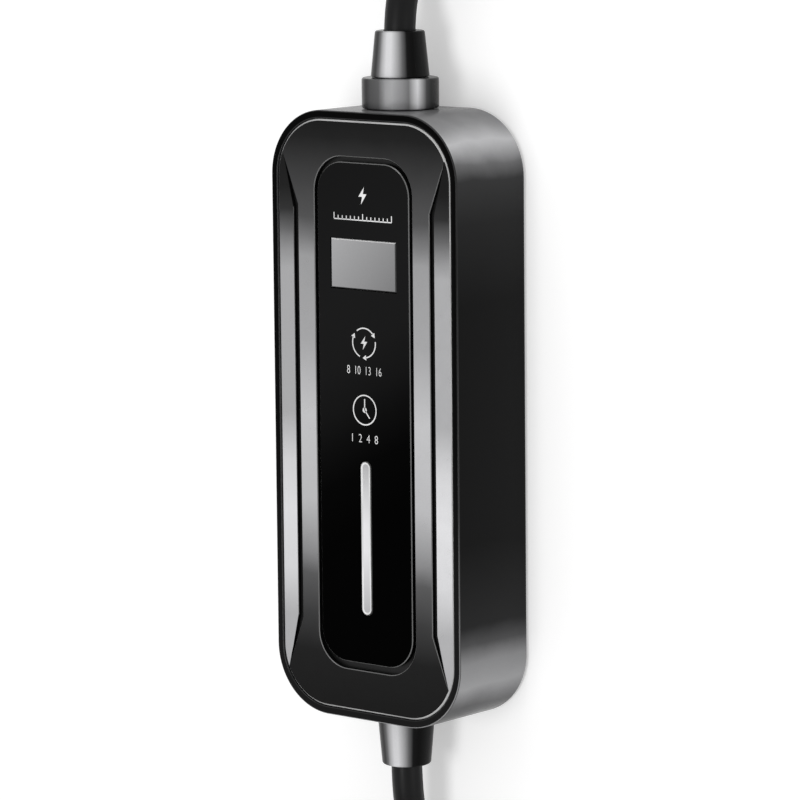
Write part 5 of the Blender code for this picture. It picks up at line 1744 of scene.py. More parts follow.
@dataclass
class FrontCover:
    """The moulded front cover with its facets, grooves and panel pocket."""

    form: BoxForm = FORM
    thickness: float = 0.0028
    skirt: float = 0.0020
    skirt_bottom: float = 0.0363
    edge: float = 0.0006
    lip: float = 0.00026
    wing_width: float = 0.0076
    wing_drop: float = 0.0003
    tip_setback: float = 0.0164
    knee_setback: float = 0.0370
    groove_width: float = 0.0021
    groove_depth: float = 0.0016
    groove_overlap: float = 0.0001
    groove_tip_share: float = 0.04
    pocket_top: float = 0.0982
    pocket_bottom: float = -0.0960
    pocket_half: float = 0.0238
    pocket_radius: float = 0.0135
    pocket_floor: float = 0.0387
    tray: float = 0.0016
    boss_radius: float = 0.0035
    boss_bottom: float = 0.0223
    pilot_radius: float = 0.0015
    pilot_top: float = 0.0329
    key_y: tuple[float, float] = (0.0289, 0.0036)
    key_radius: float = 0.0041

    def wing_points(self) -> tuple[tuple[float, float], tuple[float, float], float]:
        """Give the knee, the tip and the edge of a wing's upper half.

        Returns:
            The knee, the tip and the x of the outer edge.
        """
        form = self.form
        inset = form.rim + form.gap
        edge_x = form.half_width - inset
        inner_x = edge_x - self.wing_width
        tip_y = form.half_length - self.tip_setback
        tip_radius = form.corner - inset - self.edge
        rise = tip_y - (form.half_length - form.corner)
        tip_x = form.half_width - form.corner + math.sqrt(tip_radius ** 2 - rise ** 2)
        return (inner_x, form.half_length - self.knee_setback), (tip_x, tip_y), edge_x

    def pocket_ring(self, grow: float, z: float) -> Ring:
        """Give the pocket's outline, grown by a margin, at a height."""
        half_y = (self.pocket_top - self.pocket_bottom) / 2 + grow
        middle = (self.pocket_top + self.pocket_bottom) / 2
        return ring_of(self.pocket_half + grow, half_y, self.pocket_radius + grow, z, middle)

    def blank(self) -> Piece:
        """Make the cover's body with its skirt and its rounded outer edge.

        Returns:
            The piece's object.
        """
        form = self.form
        inset = form.rim + form.gap
        underside = form.depth - self.thickness
        rings = [
            form.ring(inset + self.skirt, underside),
            form.ring(inset + self.skirt, self.skirt_bottom),
            form.ring(inset, self.skirt_bottom),
            form.ring(inset, form.depth - self.edge),
            form.ring(inset + self.edge, form.depth),
        ]
        return Shape().loft(rings).mesh("front_cover_moulding", BAND_PAINTED_REFLECTION)

    def wing_tool(self) -> Shape:
        """Give the wedges that lower the side facets.

        Returns:
            The shape.
        """
        (knee_x, knee_y), (tip_x, tip_y), edge_x = self.wing_points()
        beyond = edge_x + self.skirt
        slope = self.wing_drop / (edge_x - knee_x)
        outline = (
            (knee_x, -knee_y),
            (tip_x, -tip_y),
            (beyond, -tip_y),
            (beyond, tip_y),
            (tip_x, tip_y),
            (knee_x, knee_y),
        )
        tool = Shape()
        top = self.form.depth + self.skirt
        for side in (-1, 1):
            low = [Vector((side * x, y, self.form.depth - slope * (x - knee_x))) for x, y in outline]
            tool.loft((low, [Vector((point.x, point.y, top)) for point in low]))
        return tool

    def groove_tool(self) -> Shape:
        """Give the tapering grooves inside the facets, each with a small lip.

        Returns:
            The shape.
        """
        (knee_x, knee_y), (tip_x, tip_y), _ = self.wing_points()
        end_x = tip_x - (tip_x - knee_x) * self.groove_tip_share
        end_y = tip_y - (tip_y - knee_y) * self.groove_tip_share
        depth = self.form.depth
        tool = Shape()
        for side in (-1, 1):
            rings = []
            for grow, z in (
                (0.0, depth - self.groove_depth),
                (0.0, depth - self.lip),
                (self.lip, depth),
                (self.lip, depth + self.skirt),
            ):
                inner_x = knee_x - self.groove_width - grow
                outer_x = knee_x + self.groove_overlap + grow * 0.4
                inner_y = knee_y + self.groove_width / 2
                corners = (
                    (end_x, end_y + grow),
                    (outer_x, knee_y),
                    (outer_x, -knee_y),
                    (end_x, -end_y - grow),
                    (inner_x, -inner_y),
                    (inner_x, inner_y),
                )
                rings.append([Vector((side * x, y, z)) for x, y in corners])
            tool.loft(rings)
        return tool

    def tray_tool(self) -> Shape:
        """Give the tray under the pocket."""
        low, middle = self.pocket_floor - self.tray, self.form.depth - self.thickness / 2
        return Shape().loft((self.pocket_ring(self.tray, low), self.pocket_ring(self.tray, middle)))

    def boss_tool(self) -> Shape:
        """Give the bosses that take the cover screws.

        Returns:
            The shape.
        """
        tool = Shape()
        top = self.form.depth - self.thickness / 2
        for x, y in self.form.screw_places():
            tool.turned(
                ((self.boss_radius, self.boss_bottom), (self.boss_radius, top)), (x, y, 0.0), sides=32
            )
        return tool

    def hole_tool(self) -> Shape:
        """Give the windows and the holes in the tray and the bosses.

        Returns:
            The shape.
        """
        low = self.pocket_floor - self.tray - self.form.gap
        high = self.pocket_floor + self.form.gap
        tool = WINDOWS.tool(low, high, 8)
        for y in self.key_y:
            tool.turned(((self.key_radius, low), (self.key_radius, high)), (0.0, y, 0.0), sides=32)
        for x, y in self.form.screw_places():
            bottom = self.boss_bottom - self.form.gap
            tool.turned(
                ((self.pilot_radius, bottom), (self.pilot_radius, self.pilot_top)), (x, y, 0.0), sides=20
            )
        return tool

    def pocket_tool(self) -> Shape:
        """Give the pocket, with a small lip round its top.

        Returns:
            The shape.
        """
        depth = self.form.depth
        rings = (
            self.pocket_ring(0.0, self.pocket_floor),
            self.pocket_ring(0.0, depth - self.lip),
            self.pocket_ring(self.lip, depth),
            self.pocket_ring(self.lip, depth + self.skirt),
        )
        return Shape().loft(rings)

    def finish_of(self, face: Face) -> int:
        """Give the number of a face's finish: band with painted reflection, wing with painted reflection,
        outer edge with a painted highlight, black recess with painted shade or inner edge with a painted
        highlight.

        Args:
            face: A face of the piece.

        Returns:
            The finish's number.
        """
        upright = face.normal.z
        if upright < 0.2 or face.center.z < self.form.depth - 1.5 * self.edge:
            return 3
        if upright < 0.93:
            outer = self.form.rim + self.form.gap + self.edge
            return 2 if self.form.inset_of(face.center.x, face.center.y) < outer else 4
        return 1 if abs(face.normal.x) > 0.02 else 0

    def build(self) -> Piece:
        """Make the cover.

        Returns:
            The cover's object.
        """
        cover = self.blank()
        for tool in (self.tray_tool(), self.boss_tool()):
            carve(cover, tool, "UNION")
        for tool in (self.pocket_tool(), self.wing_tool(), self.groove_tool(), self.hole_tool()):
            carve(cover, tool)
        # Band and wings get painted reflection, the edges painted highlights, the recesses black with painted
        # shade.
        paint(cover, (BAND_PAINTED_REFLECTION, WING_PAINTED_REFLECTION, COVER_HIGHLIGHT_EDGE, COVER_RECESS_AND_SHADE, COVER_LIP_HIGHLIGHT), self.finish_of)
        return seat(crease(cover, 20.0), Slot.GUNMETAL, "front_cover")


# Painted highlight lines on the panel's chamfered edges.
PANEL_HIGHLIGHT_EDGE = MouldedPlastic("panel_polished_edge", (0.13, 0.13, 0.13), 0.2, 0.03, 0.002, 0.000002, 0.5)
# Painted highlight on the lens edges that face the light, and painted shade on the others.
LENS_HIGHLIGHT_EDGE = MouldedPlastic("lens_polished_edge", (0.80, 0.80, 0.80), 0.2, 0.03, 0.002, 0.000002, 0.5)
LENS_SHADE = MouldedPlastic("lens_shaded_edge", (0.03, 0.03, 0.03), 0.3, 0.03, 0.002, 0.000002, 0.5)
GUIDE_EDGE = MouldedPlastic("light_guide_shaded_edge", (0.05, 0.05, 0.05), 0.3, 0.03, 0.002, 0.000002, 0.3)
# Painted highlight along the light guide's core: brightest in its middle, dimmer towards both ends.
GUIDE_CORE_HIGHLIGHT = Fade(
    "light_guide_core",
    stops=(
        (-0.075, 0.420), (-0.062, 0.620), (-0.050, 0.800), (-0.040, 0.800), (-0.026, 0.600),
        (-0.015, 0.400),
    ),
    roughness=0.3,
    level=0.4,
)
PRINT_WHITE = MouldedPlastic("panel_print_white", (0.80, 0.80, 0.80), 0.45, 0.04, 0.0006, 0.000003, 0.4)


@dataclass
class TouchPanel:
    """The gloss panel with its windows for the display and the status light."""

    form: BoxForm = FORM
    half_x: float = 0.0223
    top: float = 0.0962
    bottom: float = -0.0932
    radius: float = 0.0120
    thickness: float = 0.0020
    edge: float = 0.0003

    def ring(self, inset: float, z: float) -> Ring:
        """Give the panel's outline, moved inwards, at a height.

        Args:
            inset: How far the outline moves inwards.
            z: The height.

        Returns:
            The outline's points.
        """
        middle = (self.top + self.bottom) / 2
        return ring_of(
            self.half_x - inset, (self.top - self.bottom) / 2 - inset, self.radius - inset, z, middle
        )

    def build(self) -> Piece:
        """Make the panel.

        Returns:
            The panel's object.
        """
        depth = self.form.depth
        low = depth - self.thickness
        rings = [self.ring(0.0, low), self.ring(0.0, depth - self.edge), self.ring(self.edge, depth)]
        panel = Shape().loft(rings).mesh("touch_panel_glass", PANEL_GLOSS)
        carve(panel, WINDOWS.tool(low - self.form.gap, depth + self.form.gap, 12))
        # The panel's chamfer faces get the painted highlight.
        paint(panel, (PANEL_GLOSS, PANEL_HIGHLIGHT_EDGE), lambda face: 1 if 0.2 < face.normal.z < 0.95 else 0)
        return seat(crease(panel, 20.0), Slot.PANEL_GLOSS, "touch_panel")


@dataclass
class PanelMarks:
    """The plain pictograms and numbers printed on the panel.

    Attributes:
        form: The box's outer form.
        sunk: How far the print reaches into the panel.
        proud: How far it stands proud.
        stroke: The width of the printed lines.
        ring_radius: The radius of the round pictograms.
    """

    form: BoxForm = FORM
    sunk: float = 0.00003
    proud: float = 0.00004
    stroke: float = 0.00048
    ring_radius: float = 0.0058
    current_y: float = 0.0289
    clock_y: float = 0.0036
    shapes: Shape = field(default_factory=Shape)

    def flat(self, outline: Pairs) -> None:
        """Print a filled outline."""
        depth = self.form.depth
        self.shapes.slab(outline, depth - self.sunk, depth + self.proud)

    def stripe(self, start: tuple[float, float], end: tuple[float, float], width: float) -> None:
        """Print a straight line with square ends.

        Args:
            start: Where it starts.
            end: Where it ends.
            width: Its width.
        """
        along = Vector((end[0] - start[0], end[1] - start[1])).normalized() * (width / 2)
        across = Vector((-along.y, along.x))
        a, b = Vector(start), Vector(end)
        self.flat([tuple(a - across), tuple(b - across), tuple(b + across), tuple(a + across)])

    def arc(self, centre_y: float, start: float, end: float) -> None:
        """Print part of a ring.

        Args:
            centre_y: The ring's middle along the box.
            start: Where the arc starts, in degrees from +X.
            end: Where it ends, in degrees.
        """
        steps = max(4, int(abs(end - start) / 5))
        outer, inner = self.ring_radius, self.ring_radius - self.stroke
        angles = [math.radians(start + (end - start) * step / steps) for step in range(steps + 1)]
        rim = [(outer * math.cos(a), centre_y + outer * math.sin(a)) for a in angles]
        bore = [(inner * math.cos(a), centre_y + inner * math.sin(a)) for a in reversed(angles)]
        self.flat(rim + bore)

    def arrow(self, centre_y: float, angle: float) -> None:
        """Print an arrow head that points clockwise round a ring.

        Args:
            centre_y: The ring's middle along the box.
            angle: The arrow's place round the ring, in degrees from +X.
        """
        turn = math.radians(angle)
        middle = Vector((math.cos(turn), math.sin(turn))) * (self.ring_radius - self.stroke / 2)
        ahead = Vector((math.sin(turn), -math.cos(turn))) * 0.0013
        aside = Vector((math.cos(turn), math.sin(turn))) * 0.0010
        centre = Vector((0.0, centre_y)) + middle
        self.flat(
            [tuple(centre + ahead), tuple(centre + aside - ahead * 0.3), tuple(centre - aside - ahead * 0.3)]
        )

    def bolt(self, centre_y: float, height: float) -> None:
        """Print a lightning bolt, the common sign for electric power."""
        shape = ((0.12, 0.50), (-0.30, -0.06), (-0.02, -0.06), (-0.12, -0.50), (0.30, 0.10), (0.03, 0.10))
        self.flat([(x * height, centre_y + y * height) for x, y in shape])

    def current_sign(self) -> None:
        """Print the key for the charging current: three arrows round a bolt."""
        for start in (128.0, 8.0, 248.0):
            self.arc(self.current_y, start, start - 90.0)
            self.arrow(self.current_y, start - 92.0)
        self.bolt(self.current_y, 0.0052)

    def clock_sign(self) -> None:
        """Print the key for a delayed start: a plain clock face."""
        for start in range(0, 360, 60):
            self.arc(self.clock_y, start, start + 60.5)
        hub = 0.0010
        turns = [math.tau * step / 20 for step in range(20)]
        self.flat([(hub * math.cos(a), self.clock_y + hub * math.sin(a)) for a in turns])
        self.stripe((0.0, self.clock_y), (0.0, self.clock_y + 0.0042), self.stroke)
        self.stripe((0.0, self.clock_y), (0.0024, self.clock_y - 0.0030), self.stroke)

    def power_sign(self) -> None:
        """Print a bolt over a plain level scale."""
        self.bolt(0.0840, 0.0066)
        self.stripe((-0.0140, 0.0748), (0.0140, 0.0748), 0.0004)
        count = 15
        for index in range(count):
            x = -0.0140 + 0.0280 * index / (count - 1)
            tall = 0.0024 if index % 7 == 0 else 0.0014
            self.stripe((x, 0.0748), (x, 0.0748 + tall), 0.0004)

    def numbers(self, name: str, text: str, y: float, height: float, width: float) -> Piece:
        """Print a row of plain numbers.

        Args:
            name: The piece's name.
            text: The numbers.
            y: The middle of the row along the box.
            height: The height of the figures.
            width: The width of the whole row.

        Returns:
            The row's object.
        """
        letters = bpy.data.curves.new(name, "FONT")
        letters.body = text
        letters.align_x = "CENTER"
        letters.align_y = "CENTER"
        letters.offset = -0.012
        letters.extrude = (self.sunk + self.proud) / 2
        row = add_object(name, letters)
        graph = bpy.context.evaluated_depsgraph_get()
        mesh = bpy.data.meshes.new_from_object(row.evaluated_get(graph))
        bpy.data.objects.remove(row, do_unlink=True)
        low = Vector([min(v.co[axis] for v in mesh.vertices) for axis in range(3)])
        high = Vector([max(v.co[axis] for v in mesh.vertices) for axis in range(3)])
        size = high - low
        scale = Matrix.Diagonal((width / size.x, height / size.y, 1.0, 1.0))
        mesh.transform(scale @ Matrix.Translation(-(low + high) / 2))
        mesh.transform(Matrix.Translation((0.0, y, self.form.depth + (self.proud - self.sunk) / 2)))
        mesh.materials.clear()
        mesh.materials.append(PRINT_WHITE.material())
        return seat(add_object(name, mesh), Slot.LIGHT_WHITE)

    def build(self) -> list[Piece]:
        """Print every mark.

        Returns:
            The marks' objects.
        """
        self.current_sign()
        self.clock_sign()
        self.power_sign()
        signs = seat(self.shapes.mesh("panel_pictograms", PRINT_WHITE), Slot.LIGHT_WHITE)
        amps = self.numbers("panel_current_steps", "8  10  13  16", 0.0185, 0.0031, 0.0168)
        hours = self.numbers("panel_delay_steps", "1  2  4  8", -0.0072, 0.0031, 0.0126)
        return [signs, amps, hours]


@dataclass
class DisplayLens:
    """The grey lens over the display."""

    form: BoxForm = FORM
    half_x: float = 0.0158
    half_y: float = 0.0093
    middle_y: float = WINDOWS.lens_y
    bottom: float = 0.0371
    edge: float = 0.0004

    def build(self) -> Piece:
        """Make the lens.

        Returns:
            The lens's object.
        """
        depth = self.form.depth
        rings = []
        for inset, z in ((0.0, self.bottom), (0.0, depth - self.edge), (self.edge, depth)):
            x, y = self.half_x - inset, self.half_y - inset
            corners = ((x, y), (-x, y), (-x, -y), (x, -y))
            rings.append([Vector((px, self.middle_y + py, z)) for px, py in corners])
        lens = Shape().loft(rings).mesh("display_lens_glass", LENS_GREY)

        def edge_of(face: Face) -> int:
            """Give 1 for the edges towards the light, with a painted highlight, 2 for the others, with
            painted shade, 0 for the face.
            """
            if not 0.2 < face.normal.z < 0.95:
                return 0
            return 1 if face.normal.y > 0.3 or face.normal.x < -0.3 else 2

        paint(lens, (LENS_GREY, LENS_HIGHLIGHT_EDGE, LENS_SHADE), edge_of)
        return seat(crease(lens, 20.0), Slot.LENS_GREY, "display_lens")


@dataclass
class StatusLight:
    """The white light guide with round ends and the flange behind it."""

    form: BoxForm = FORM
    half_x: float = 0.0027
    half_y: float = 0.0295
    middle_y: float = WINDOWS.bar_y
    flange: float = 0.0012
    shoulder: float = 0.0368
    edge: float = 0.0005

    def ring(self, grow: float, z: float) -> Ring:
        """Give the guide's outline, grown by a margin, at a height."""
        half_x = self.half_x + grow
        return ring_of(half_x, self.half_y + grow, half_x, z, self.middle_y, 12)

    def build(self) -> Piece:
        """Make the light guide.

        Returns:
            The light guide's object.
        """
        depth = self.form.depth
        rings = [
            self.ring(self.flange, self.shoulder - self.flange),
            self.ring(self.flange, self.shoulder),
            self.ring(0.0, self.shoulder),
        ]
        rings += [self.ring(-inset, depth - drop) for inset, drop in quarter(self.edge)]
        rings.append(self.ring(-2.4 * self.edge, depth - 0.3 * self.edge))
        guide = Shape().loft(rings).mesh("status_light_guide", LIGHT_WHITE)
        paint(guide, (LIGHT_WHITE, GUIDE_EDGE, GUIDE_CORE_HIGHLIGHT), self.finish_of)
        return seat(crease(guide, 40.0), Slot.LIGHT_WHITE, "light_bar")

    def finish_of(self, face: Face) -> int:
        """Give the number of a face's finish: white rim, shaded outer edge or core with its painted
        highlight.

        Args:
            face: A face of the piece.

        Returns:
            The finish's number.
        """
        beyond = max(abs(face.center.y - self.middle_y) - (self.half_y - self.half_x), 0.0)
        inset = self.half_x - math.hypot(face.center.x, beyond)
        if len(face.vertices) > 4 and face.normal.z > 0.9:
            return 2
        return 1 if face.normal.z < 0.6 or inset < 0.9 * self.edge else 0


BRASS = PlatedMetal("contact_silvered_brass", (0.72, 0.62, 0.42), 0.24)
NICKEL = PlatedMetal("pin_nickel_plate", (0.68, 0.66, 0.62), 0.18)
THREAD = MouldedPlastic("tie_stitch_thread", (0.050, 0.050, 0.052), 0.7, 0.05, 0.0003, 0.00003, 0.3)


@dataclass
class CableGlands:
    """The collar nut and the strain reliefs at both ends of the box."""

    form: BoxForm = FORM
    bore: float = 0.0063
    spigot: float = 0.0095
    collar_radius: float = 0.0145
    collar_start: float = 0.1153
    collar_end: float = 0.1267
    collar_edge: float = 0.0008
    neck: float = 0.0081
    lip: float = 0.0020
    seal_end: float = 0.1165
    seal_bore: float = 0.0121
    root_radius: float = 0.0110
    tip_radius: float = 0.0093
    supply_start: float = 0.1270
    supply_end: float = 0.1442
    vehicle_start: float = 0.1153
    vehicle_end: float = 0.1351
    spigot_start: float = 0.1039
    mouth: float = 0.0009
    chamfer: float = 0.0003
    wall: float = 0.0015

    def axis(self) -> Point:
        """Give the point that the glands' distances start from."""
        return (0.0, 0.0, self.form.gland_z)

    def rounded(self, radius: float, start: float, way: int) -> list[tuple[float, float]]:
        """Give the profile of a small rounded outer edge.

        Args:
            radius: The radius of the turned piece there.
            start: Where the flat end lies.
            way: 1 where the edge runs up from a start, -1 where it runs down to an end.

        Returns:
            Pairs of radius and distance.
        """
        pairs = [(radius - drop, start + way * inset) for inset, drop in quarter(self.collar_edge)]
        return pairs if way == 1 else pairs[::-1]

    def sleeve_profile(self, start: float, end: float) -> list[tuple[float, float]]:
        """Give the tapered outside of a strain relief with its rounded mouth.

        Args:
            start: Where it starts.
            end: Where it ends.

        Returns:
            Pairs of radius and distance.
        """
        mouth = self.mouth
        rows = [(self.root_radius - self.chamfer, start), (self.root_radius, start + self.chamfer)]
        share = (end - mouth - start) / (end - start)
        radius = self.root_radius + (self.tip_radius - self.root_radius) * share
        return rows + [(radius - inset, end - drop) for inset, drop in quarter(mouth)]

    def nut(self) -> Piece:
        """Make the collar nut.

        Returns:
            The piece's object.
        """
        profile = [(self.seal_bore, self.collar_start)]
        profile += self.rounded(self.collar_radius, self.collar_start, 1)
        profile += self.rounded(self.collar_radius, self.collar_end, -1)
        profile += [
            (self.neck, self.collar_end),
            (self.neck, self.collar_end - self.lip),
            (self.spigot + self.form.gap, self.collar_end - self.lip),
            (self.spigot + self.form.gap, self.seal_end + self.form.gap),
            (self.seal_bore, self.seal_end + self.form.gap),
        ]
        # The nut's black carries painted highlights round its axis.
        shape = Shape().turned(profile, self.axis(), TO_SUPPLY, 96, closed=True)
        return seat(shape.mesh("supply_collar_nut", COLLAR_PAINTED_HIGHLIGHTS, 40.0), Slot.GLOSS_BLACK, "supply_gland_nut")

    def supply_sleeve(self) -> Piece:
        """Make the strain relief over the collar nut.

        Returns:
            The piece's object.
        """
        profile = [
            (self.bore, self.collar_end - self.lip),
            (self.bore + self.wall, self.collar_end - self.lip),
            (self.bore + self.wall, self.supply_start),
            *self.sleeve_profile(self.supply_start, self.supply_end),
            (self.bore, self.supply_end),
        ]
        # The sleeve's black carries painted highlights round its axis.
        shape = Shape().turned(profile, self.axis(), TO_SUPPLY, 96, closed=True)
        return seat(
            shape.mesh("supply_strain_relief", SLEEVE_PAINTED_HIGHLIGHTS, 40.0), Slot.SLEEVE_BLACK, "supply_gland_sleeve"
        )

    def vehicle_sleeve(self) -> Piece:
        """Make the strain relief that sits straight on the box.

        Returns:
            The piece's object.
        """
        profile = [
            (self.bore, self.spigot_start),
            (self.spigot, self.spigot_start),
            (self.spigot, self.vehicle_start),
            *self.sleeve_profile(self.vehicle_start, self.vehicle_end),
            (self.bore, self.vehicle_end),
        ]
        # The sleeve's black carries painted highlights round its axis.
        shape = Shape().turned(profile, self.axis(), TO_VEHICLE, 96, closed=True)
        return seat(
            shape.mesh("vehicle_strain_relief", SLEEVE_PAINTED_HIGHLIGHTS, 40.0), Slot.SLEEVE_BLACK, "vehicle_gland_sleeve"
        )

    def build(self) -> list[Piece]:
        """Make the three pieces that show."""
        return [self.nut(), self.supply_sleeve(), self.vehicle_sleeve()]


@dataclass
class CoverScrews:
    """The four screws in the wells of the back."""

    form: BoxForm = FORM
    head_radius: float = 0.0028
    head_height: float = 0.0022
    shank_radius: float = 0.0012
    shoulder: float = 0.0157
    length: float = 0.0160
    recess: float = 0.0011
    slot_arm: float = 0.00165
    slot_half: float = 0.00034
    slot_over: float = 0.0003
    dome: float = 0.62
    threads: int = 16
    thread_start: float = 0.0012
    thread_spare: float = 0.0030
    point: float = 0.0008

    def screw(self) -> Piece:
        """Make one screw with a cross recess and a thread, its head down.

        Returns:
            The piece's object.
        """
        top = self.shoulder - self.head_height
        end = self.shoulder + self.length
        rise = self.dome * self.head_height
        profile = [(0.00005, top)]
        profile += [
            (self.head_radius * (1 - drop), top + rise * inset) for inset, drop in quarter(1.0, 6)[1:]
        ]
        profile += [(self.head_radius, self.shoulder), (self.shank_radius, self.shoulder)]
        pitch = (self.length - self.thread_spare) / self.threads
        for index in range(self.threads):
            start = self.shoulder + self.thread_start + index * pitch
            profile += [(self.shank_radius * 0.8, start), (self.shank_radius, start + pitch / 2)]
        profile += [(self.shank_radius * 0.7, end - self.point), (0.0003, end)]
        body = Shape().turned(profile, (0.0, 0.0, 0.0), sides=24).mesh("screw_item", ZINC_STEEL)
        slots = Shape()
        for x, y in ((self.slot_arm, self.slot_half), (self.slot_half, self.slot_arm)):
            slots.slab([(-x, -y), (x, -y), (x, y), (-x, y)], top - self.slot_over, top + self.recess)
        carve(body, slots)
        return crease(body, 35.0)

    def build(self) -> Piece:
        """Make the set of screws.

        Returns:
            The set's object.
        """
        places = [(x, y, 0.0) for x, y in self.form.screw_places()]
        screws = set_at_places("cover_screw_set", self.screw(), places, ZINC_STEEL, seed=7, spin=math.pi / 2)
        nodes = [f"cover_screw_{number}" for number in range(1, 5)]
        return seat(screws, Slot.STEEL, *nodes)


@dataclass
class HankTie:
    """A woven strap round one hank, with stitched edges.

    Attributes:
        name: The piece's name.
        node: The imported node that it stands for.
        middle: The strap's middle along the box.
        half_width: Half the hank's width.
        hank_top: The top of the hank.
        rest: The height of the hank's underside.
        strap: The strap's width.
        thickness: The strap's thickness.
        gap: The gap to the hank.
        corner: The radius over the hank's edges.
        pitch: The distance between stitches.
        seam: How far the stitches lie from the strap's edges.
        sink: How deep the stitches lie in the strap.
    """

    name: str
    node: str
    middle: float
    half_width: float
    hank_top: float
    rest: float = 0.0015
    strap: float = 0.0160
    thickness: float = 0.0012
    gap: float = 0.0003
    corner: float = 0.0060
    pitch: float = 0.0024
    seam: float = 0.0016
    sink: float = 0.00012

    def section(self, out: float) -> list[tuple[float, float]]:
        """Give the loop round the hank as x, z points, moved outwards.

        Args:
            out: How far the loop is moved outwards.

        Returns:
            The loop's points.
        """
        half_x = self.half_width + out
        low, high = self.rest - out, self.hank_top + out
        radius = self.corner + out
        flat = ring_of(half_x, (high - low) / 2, radius, 0.0, (high + low) / 2, 8)
        return [(point.x, point.y) for point in flat]

    def band(self) -> Piece:
        """Make the closed band round the hank, with soft outer edges.

        Returns:
            The band's object.
        """
        inner, outer, reach = self.gap, self.gap + self.thickness, self.strap / 2
        soft = (outer - inner) * 0.4
        half = ((reach, inner), (reach, outer - soft), (reach - soft, outer))
        cross = ((-reach, inner), *half, (-reach + soft, outer), (-reach, outer - soft))
        rings = [[Vector((x, self.middle + along, z)) for x, z in self.section(out)] for along, out in cross]
        return Shape().loft(rings, closed=True).mesh(f"{self.name}_strap", TIE_WEAVE, 50.0)

    def stitches(self) -> Piece:
        """Make both rows of stitches along the strap's edges.

        Returns:
            The piece's object.
        """
        rows = []
        path = self.section(self.gap + self.thickness - self.sink)
        for number, along in enumerate((-self.strap / 2 + self.seam, self.strap / 2 - self.seam), start=1):
            profile = (
                (0.00004, -0.00075),
                (0.00013, -0.00062),
                (0.00015, 0.0),
                (0.00013, 0.00062),
                (0.00004, 0.00075),
            )
            item = Shape().turned(
                profile, (0.0, 0.0, 0.0), Vector((1.0, 0.0, 0.0)), sides=6
            ).mesh("stitch_item", THREAD)
            loop = points_mesh(
                "stitch_path", [(x, self.middle + along, z) for x, z in path], joined=True, closed=True
            )
            rows.append(set_along_path(f"{self.name}_stitches_{number}", item, loop, self.pitch, THREAD))
        first, second = rows
        joined = bmesh.new()
        for row in rows:
            joined.from_mesh(row.data)
        joined.to_mesh(first.data)
        joined.free()
        bpy.data.objects.remove(second, do_unlink=True)
        first.name = f"{self.name}_stitches"
        return first

    def build(self) -> list[Piece]:
        """Make the strap and its stitches.

        Returns:
            The strap and the stitches.
        """
        strap = seat(self.band(), Slot.TIE_BLACK, self.node)
        return [strap, seat(self.stitches(), Slot.TIE_BLACK)]


